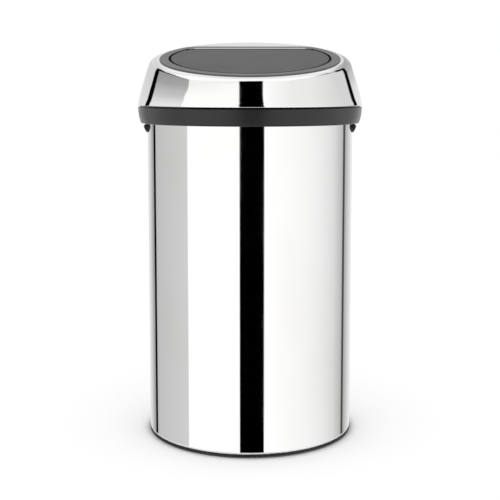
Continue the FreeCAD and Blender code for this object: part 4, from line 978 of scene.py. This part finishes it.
# %% Crown of the sky
CROWN_START = [(-75, 0.72), (-63, 0.69), (-56, 0.67), (-50, 0.63), (-42, 0.555), (-36, 0.525),
               (-29, 0.56), (-15, 0.62), (0, 0.71), (9, 0.71), (23, 0.60), (30, 0.68), (45, 0.73),
               (57, 0.75), (64, 0.68), (75, 0.67)]
CROWN_LEVEL = [(-90, 0.80), (-66, 0.70), (-52, 0.92), (-38, 1.12), (36, 1.12), (50, 1.0), (58, 0.72),
               (64, 0.47), (80, 0.42), (90, 0.60)]
CROWN_BLUR = 0.02
EDGE_SPAN = (1.8, 69.5, 0.6)            # middle, half width and blur of the black edge, degrees
EDGE_GROWTH = (36.0, 66.0, 0.0, 0.08)   # from and to these degrees aside, its half height grows like this
SKYWARD = (0.90, 0.97)                  # upward part of steel that faces the sky
SKY_LEVEL = 0.80


def crown_sky(tree, turn, rise, wall):
    over = math_node(tree, "SUBTRACT", rise, panel_ramp(tree, turn, CROWN_START))
    crown = panel_ramp(tree, turn, CROWN_LEVEL)
    seen = mix_colour(tree, beyond(tree, over, 0.0, CROWN_BLUR), wall, crown)
    growth = remap(tree, math_node(tree, "ABSOLUTE", turn), *EDGE_GROWTH)
    reach = math_node(tree, "MULTIPLY", growth, near(tree, turn, *EDGE_SPAN))
    edge = math_node(tree, "LESS_THAN", math_node(tree, "ABSOLUTE", over), reach)
    seen = mix_colour(tree, edge, seen, grey(0.0))
    return mix_colour(tree, step_up(tree, rise, *SKYWARD), seen, grey(SKY_LEVEL))


# %% [markdown]
# The parts make up the world. What points steeply up and back is plain, as only views from behind see
# it. The turned foot sees the white floor. Diffuse light is even, and the camera sees white.

# %% World
ON_DOME = (0.03, 0.09)      # upward part at which the body ends and the dome starts
BACKWARD = (0.45, 0.60)     # parts of a ray that goes steeply up and back
UPWARD = (0.63, 0.70)
BEHIND_LEVEL = 0.85
DOWNWARD = (-0.82, -0.66)   # part of a ray that meets the floor
FLOOR_LEVEL = 1.1
EVEN_LIGHT = 0.80


def mirrored_sky(tree):
    """What the steel mirrors."""
    turn, rise, ray = facing(tree)
    dome = step_up(tree, rise, *ON_DOME)
    wall = wall_panels(tree, turn, rise, dome)
    wall = mix_colour(tree, dark_lines(tree, turn, dome), wall, grey(0.0))
    seen = crown_sky(tree, turn, rise, wall)
    behind = math_node(tree, "MULTIPLY", step_up(tree, ray[1], *BACKWARD), step_up(tree, ray[2], *UPWARD))
    seen = mix_colour(tree, behind, seen, grey(BEHIND_LEVEL))
    return mix_colour(tree, step_down(tree, ray[2], *DOWNWARD), seen, grey(FLOOR_LEVEL))


def studio_sky():
    world = bpy.data.worlds.new("studio")
    world.use_nodes = True
    tree = world.node_tree
    tree.nodes.clear()
    path = put(tree, "ShaderNodeLightPath").outputs
    mirrored = put(tree, "ShaderNodeBackground", Color=mirrored_sky(tree), Strength=1.0).outputs[0]
    even = put(tree, "ShaderNodeBackground", Color=grey(1.0), Strength=EVEN_LIGHT).outputs[0]
    white = put(tree, "ShaderNodeBackground", Color=grey(1.0), Strength=1.0).outputs[0]
    lit = put(tree, "ShaderNodeMixShader", Fac=path["Is Glossy Ray"], i1=even, i2=mirrored).outputs[0]
    both = put(tree, "ShaderNodeMixShader", Fac=path["Is Camera Ray"], i1=lit, i2=white).outputs[0]
    put(tree, "ShaderNodeOutputWorld", Surface=both)
    world.cycles.sampling_method = "NONE"
    return world


scene.world = studio_sky()
scene.view_settings.view_transform = "Standard"

# %% [markdown]
# The floor is a wide pale sheet. Seen by the camera it gets a little glow, which grows away from the
# bin so that the sheet runs into the white background without an edge. At the foot the glow fades: this
# keeps the bin's own shadow and paints a darker contact shadow round it. Mirrored rays pass the floor, so
# that the steel shows the upright panels down to its foot, as in the photo.

# %% Floor
FLOOR_HALF = 14.0           # metres
FLOOR_TONES = (grey(0.74), grey(0.76))
GLOW = (0.3, 3.0, 0.305, 0.42)          # from and to these distances, the glow grows like this
# painted contact shadow: round the foot the floor's glow is taken away, which darkens the floor there
PAINTED_SHADOW_WIDTH = 0.1
PAINTED_CONTACT_SHADOW = [(0.0, 0.0), (0.03, 0.0), (0.07, 0.35), (0.12, 0.64), (0.18, 0.78), (0.26, 0.84), (0.45, 0.94),
           (0.85, 1.0)]

foot_points = points_of("base_ring")
foot_radius = float(np.hypot(foot_points[:, 0], foot_points[:, 1]).max())
print("foot radius", round(foot_radius, 4))


def floor_finish():
    material, tree, shader = finish("pale floor", Roughness=0.9, Specular_IOR_Level=0.0)
    point = object_point(tree)
    cloud = put(tree, "ShaderNodeTexNoise", Vector=point, Scale=3.0, Detail=2.0).outputs[0]
    tree.links.new(mix_colour(tree, cloud, *FLOOR_TONES), shader.inputs["Base Color"])
    away = vector_node(tree, "LENGTH", point)["Value"]
    share = put(tree, "ShaderNodeMapRange", Value=away, From_Min=foot_radius,
                From_Max=foot_radius + PAINTED_SHADOW_WIDTH).outputs[0]
    # the glow, with a painted contact shadow round the foot
    level = math_node(tree, "MULTIPLY", remap(tree, away, *GLOW), level_ramp(tree, share, PAINTED_CONTACT_SHADOW))
    camera_ray = put(tree, "ShaderNodeLightPath").outputs["Is Camera Ray"]
    strength = math_node(tree, "MULTIPLY", camera_ray, level)
    glow = put(tree, "ShaderNodeEmission", Color=grey(1.0), Strength=strength).outputs[0]
    both = put(tree, "ShaderNodeAddShader", i0=shader.outputs[0], i1=glow).outputs[0]
    tree.links.new(both, tree.nodes["Material Output"].inputs["Surface"])
    return material


def pale_floor():
    mesh = bpy.data.meshes.new("floor")
    form = bmesh.new()
    bmesh.ops.create_grid(form, x_segments=8, y_segments=8, size=FLOOR_HALF)
    form.to_mesh(mesh)
    form.free()
    mesh.materials.append(floor_finish())
    floor = add_piece("floor", mesh)
    floor.visible_glossy = False


pale_floor()

# %% [markdown]
# One wide lamp overhead adds direction to the even light: the tops of the plastics get lighter than
# their undersides, and the foot gets a shadow.

# %% Lamp


def soft_lamp(name, place, aim, size, power):
    lamp = bpy.data.lights.new(name, "AREA")
    lamp.shape = "RECTANGLE"
    lamp.size, lamp.size_y = size
    lamp.energy = power
    holder = bpy.data.objects.new(name, lamp)
    holder.location = place
    holder.rotation_euler = (Vector(aim) - Vector(place)).to_track_quat("-Z", "Y").to_euler()
    holder.visible_glossy = False
    scene.collection.objects.link(holder)


soft_lamp("overhead lamp", place=(0.0, -0.4, 3.2), aim=(0.0, 0.0, 0.4), size=(2.6, 2.6), power=26.0)

# %% [markdown]
# ## The camera
# The photo looks at the bin square on, from a little below its top. Its upright lines stay parallel, as
# with a shift lens, so the camera has a small downward shift and a small tilt. Distance, height and
# lens come from a fit to the outline: the body's sides, the band's corners, the bezel's ends and the
# foot.

# %% Camera
SENSOR_WIDTH = 36.0         # millimetres
PHOTO_WIDTH = 500.0         # pixels
FOCAL_LENGTH = 1046.8       # pixels
CAMERA_PLACE = (0.0, -1.975, 0.652)
CAMERA_TILT = 6.22          # degrees down
CAMERA_SHIFT = -0.1
CLIP_END = 60.0


def photo_camera():
    lens = bpy.data.cameras.new("camera")
    lens.sensor_width = SENSOR_WIDTH
    lens.lens = FOCAL_LENGTH * SENSOR_WIDTH / PHOTO_WIDTH
    lens.shift_y = CAMERA_SHIFT
    lens.clip_end = CLIP_END
    camera = bpy.data.objects.new("camera", lens)
    camera.location = CAMERA_PLACE
    camera.rotation_euler = (math.radians(90.0 - CAMERA_TILT), 0.0, 0.0)
    scene.collection.objects.link(camera)
    return camera


scene.camera = photo_camera()
print("camera: lens", round(scene.camera.data.lens, 1), "mm")
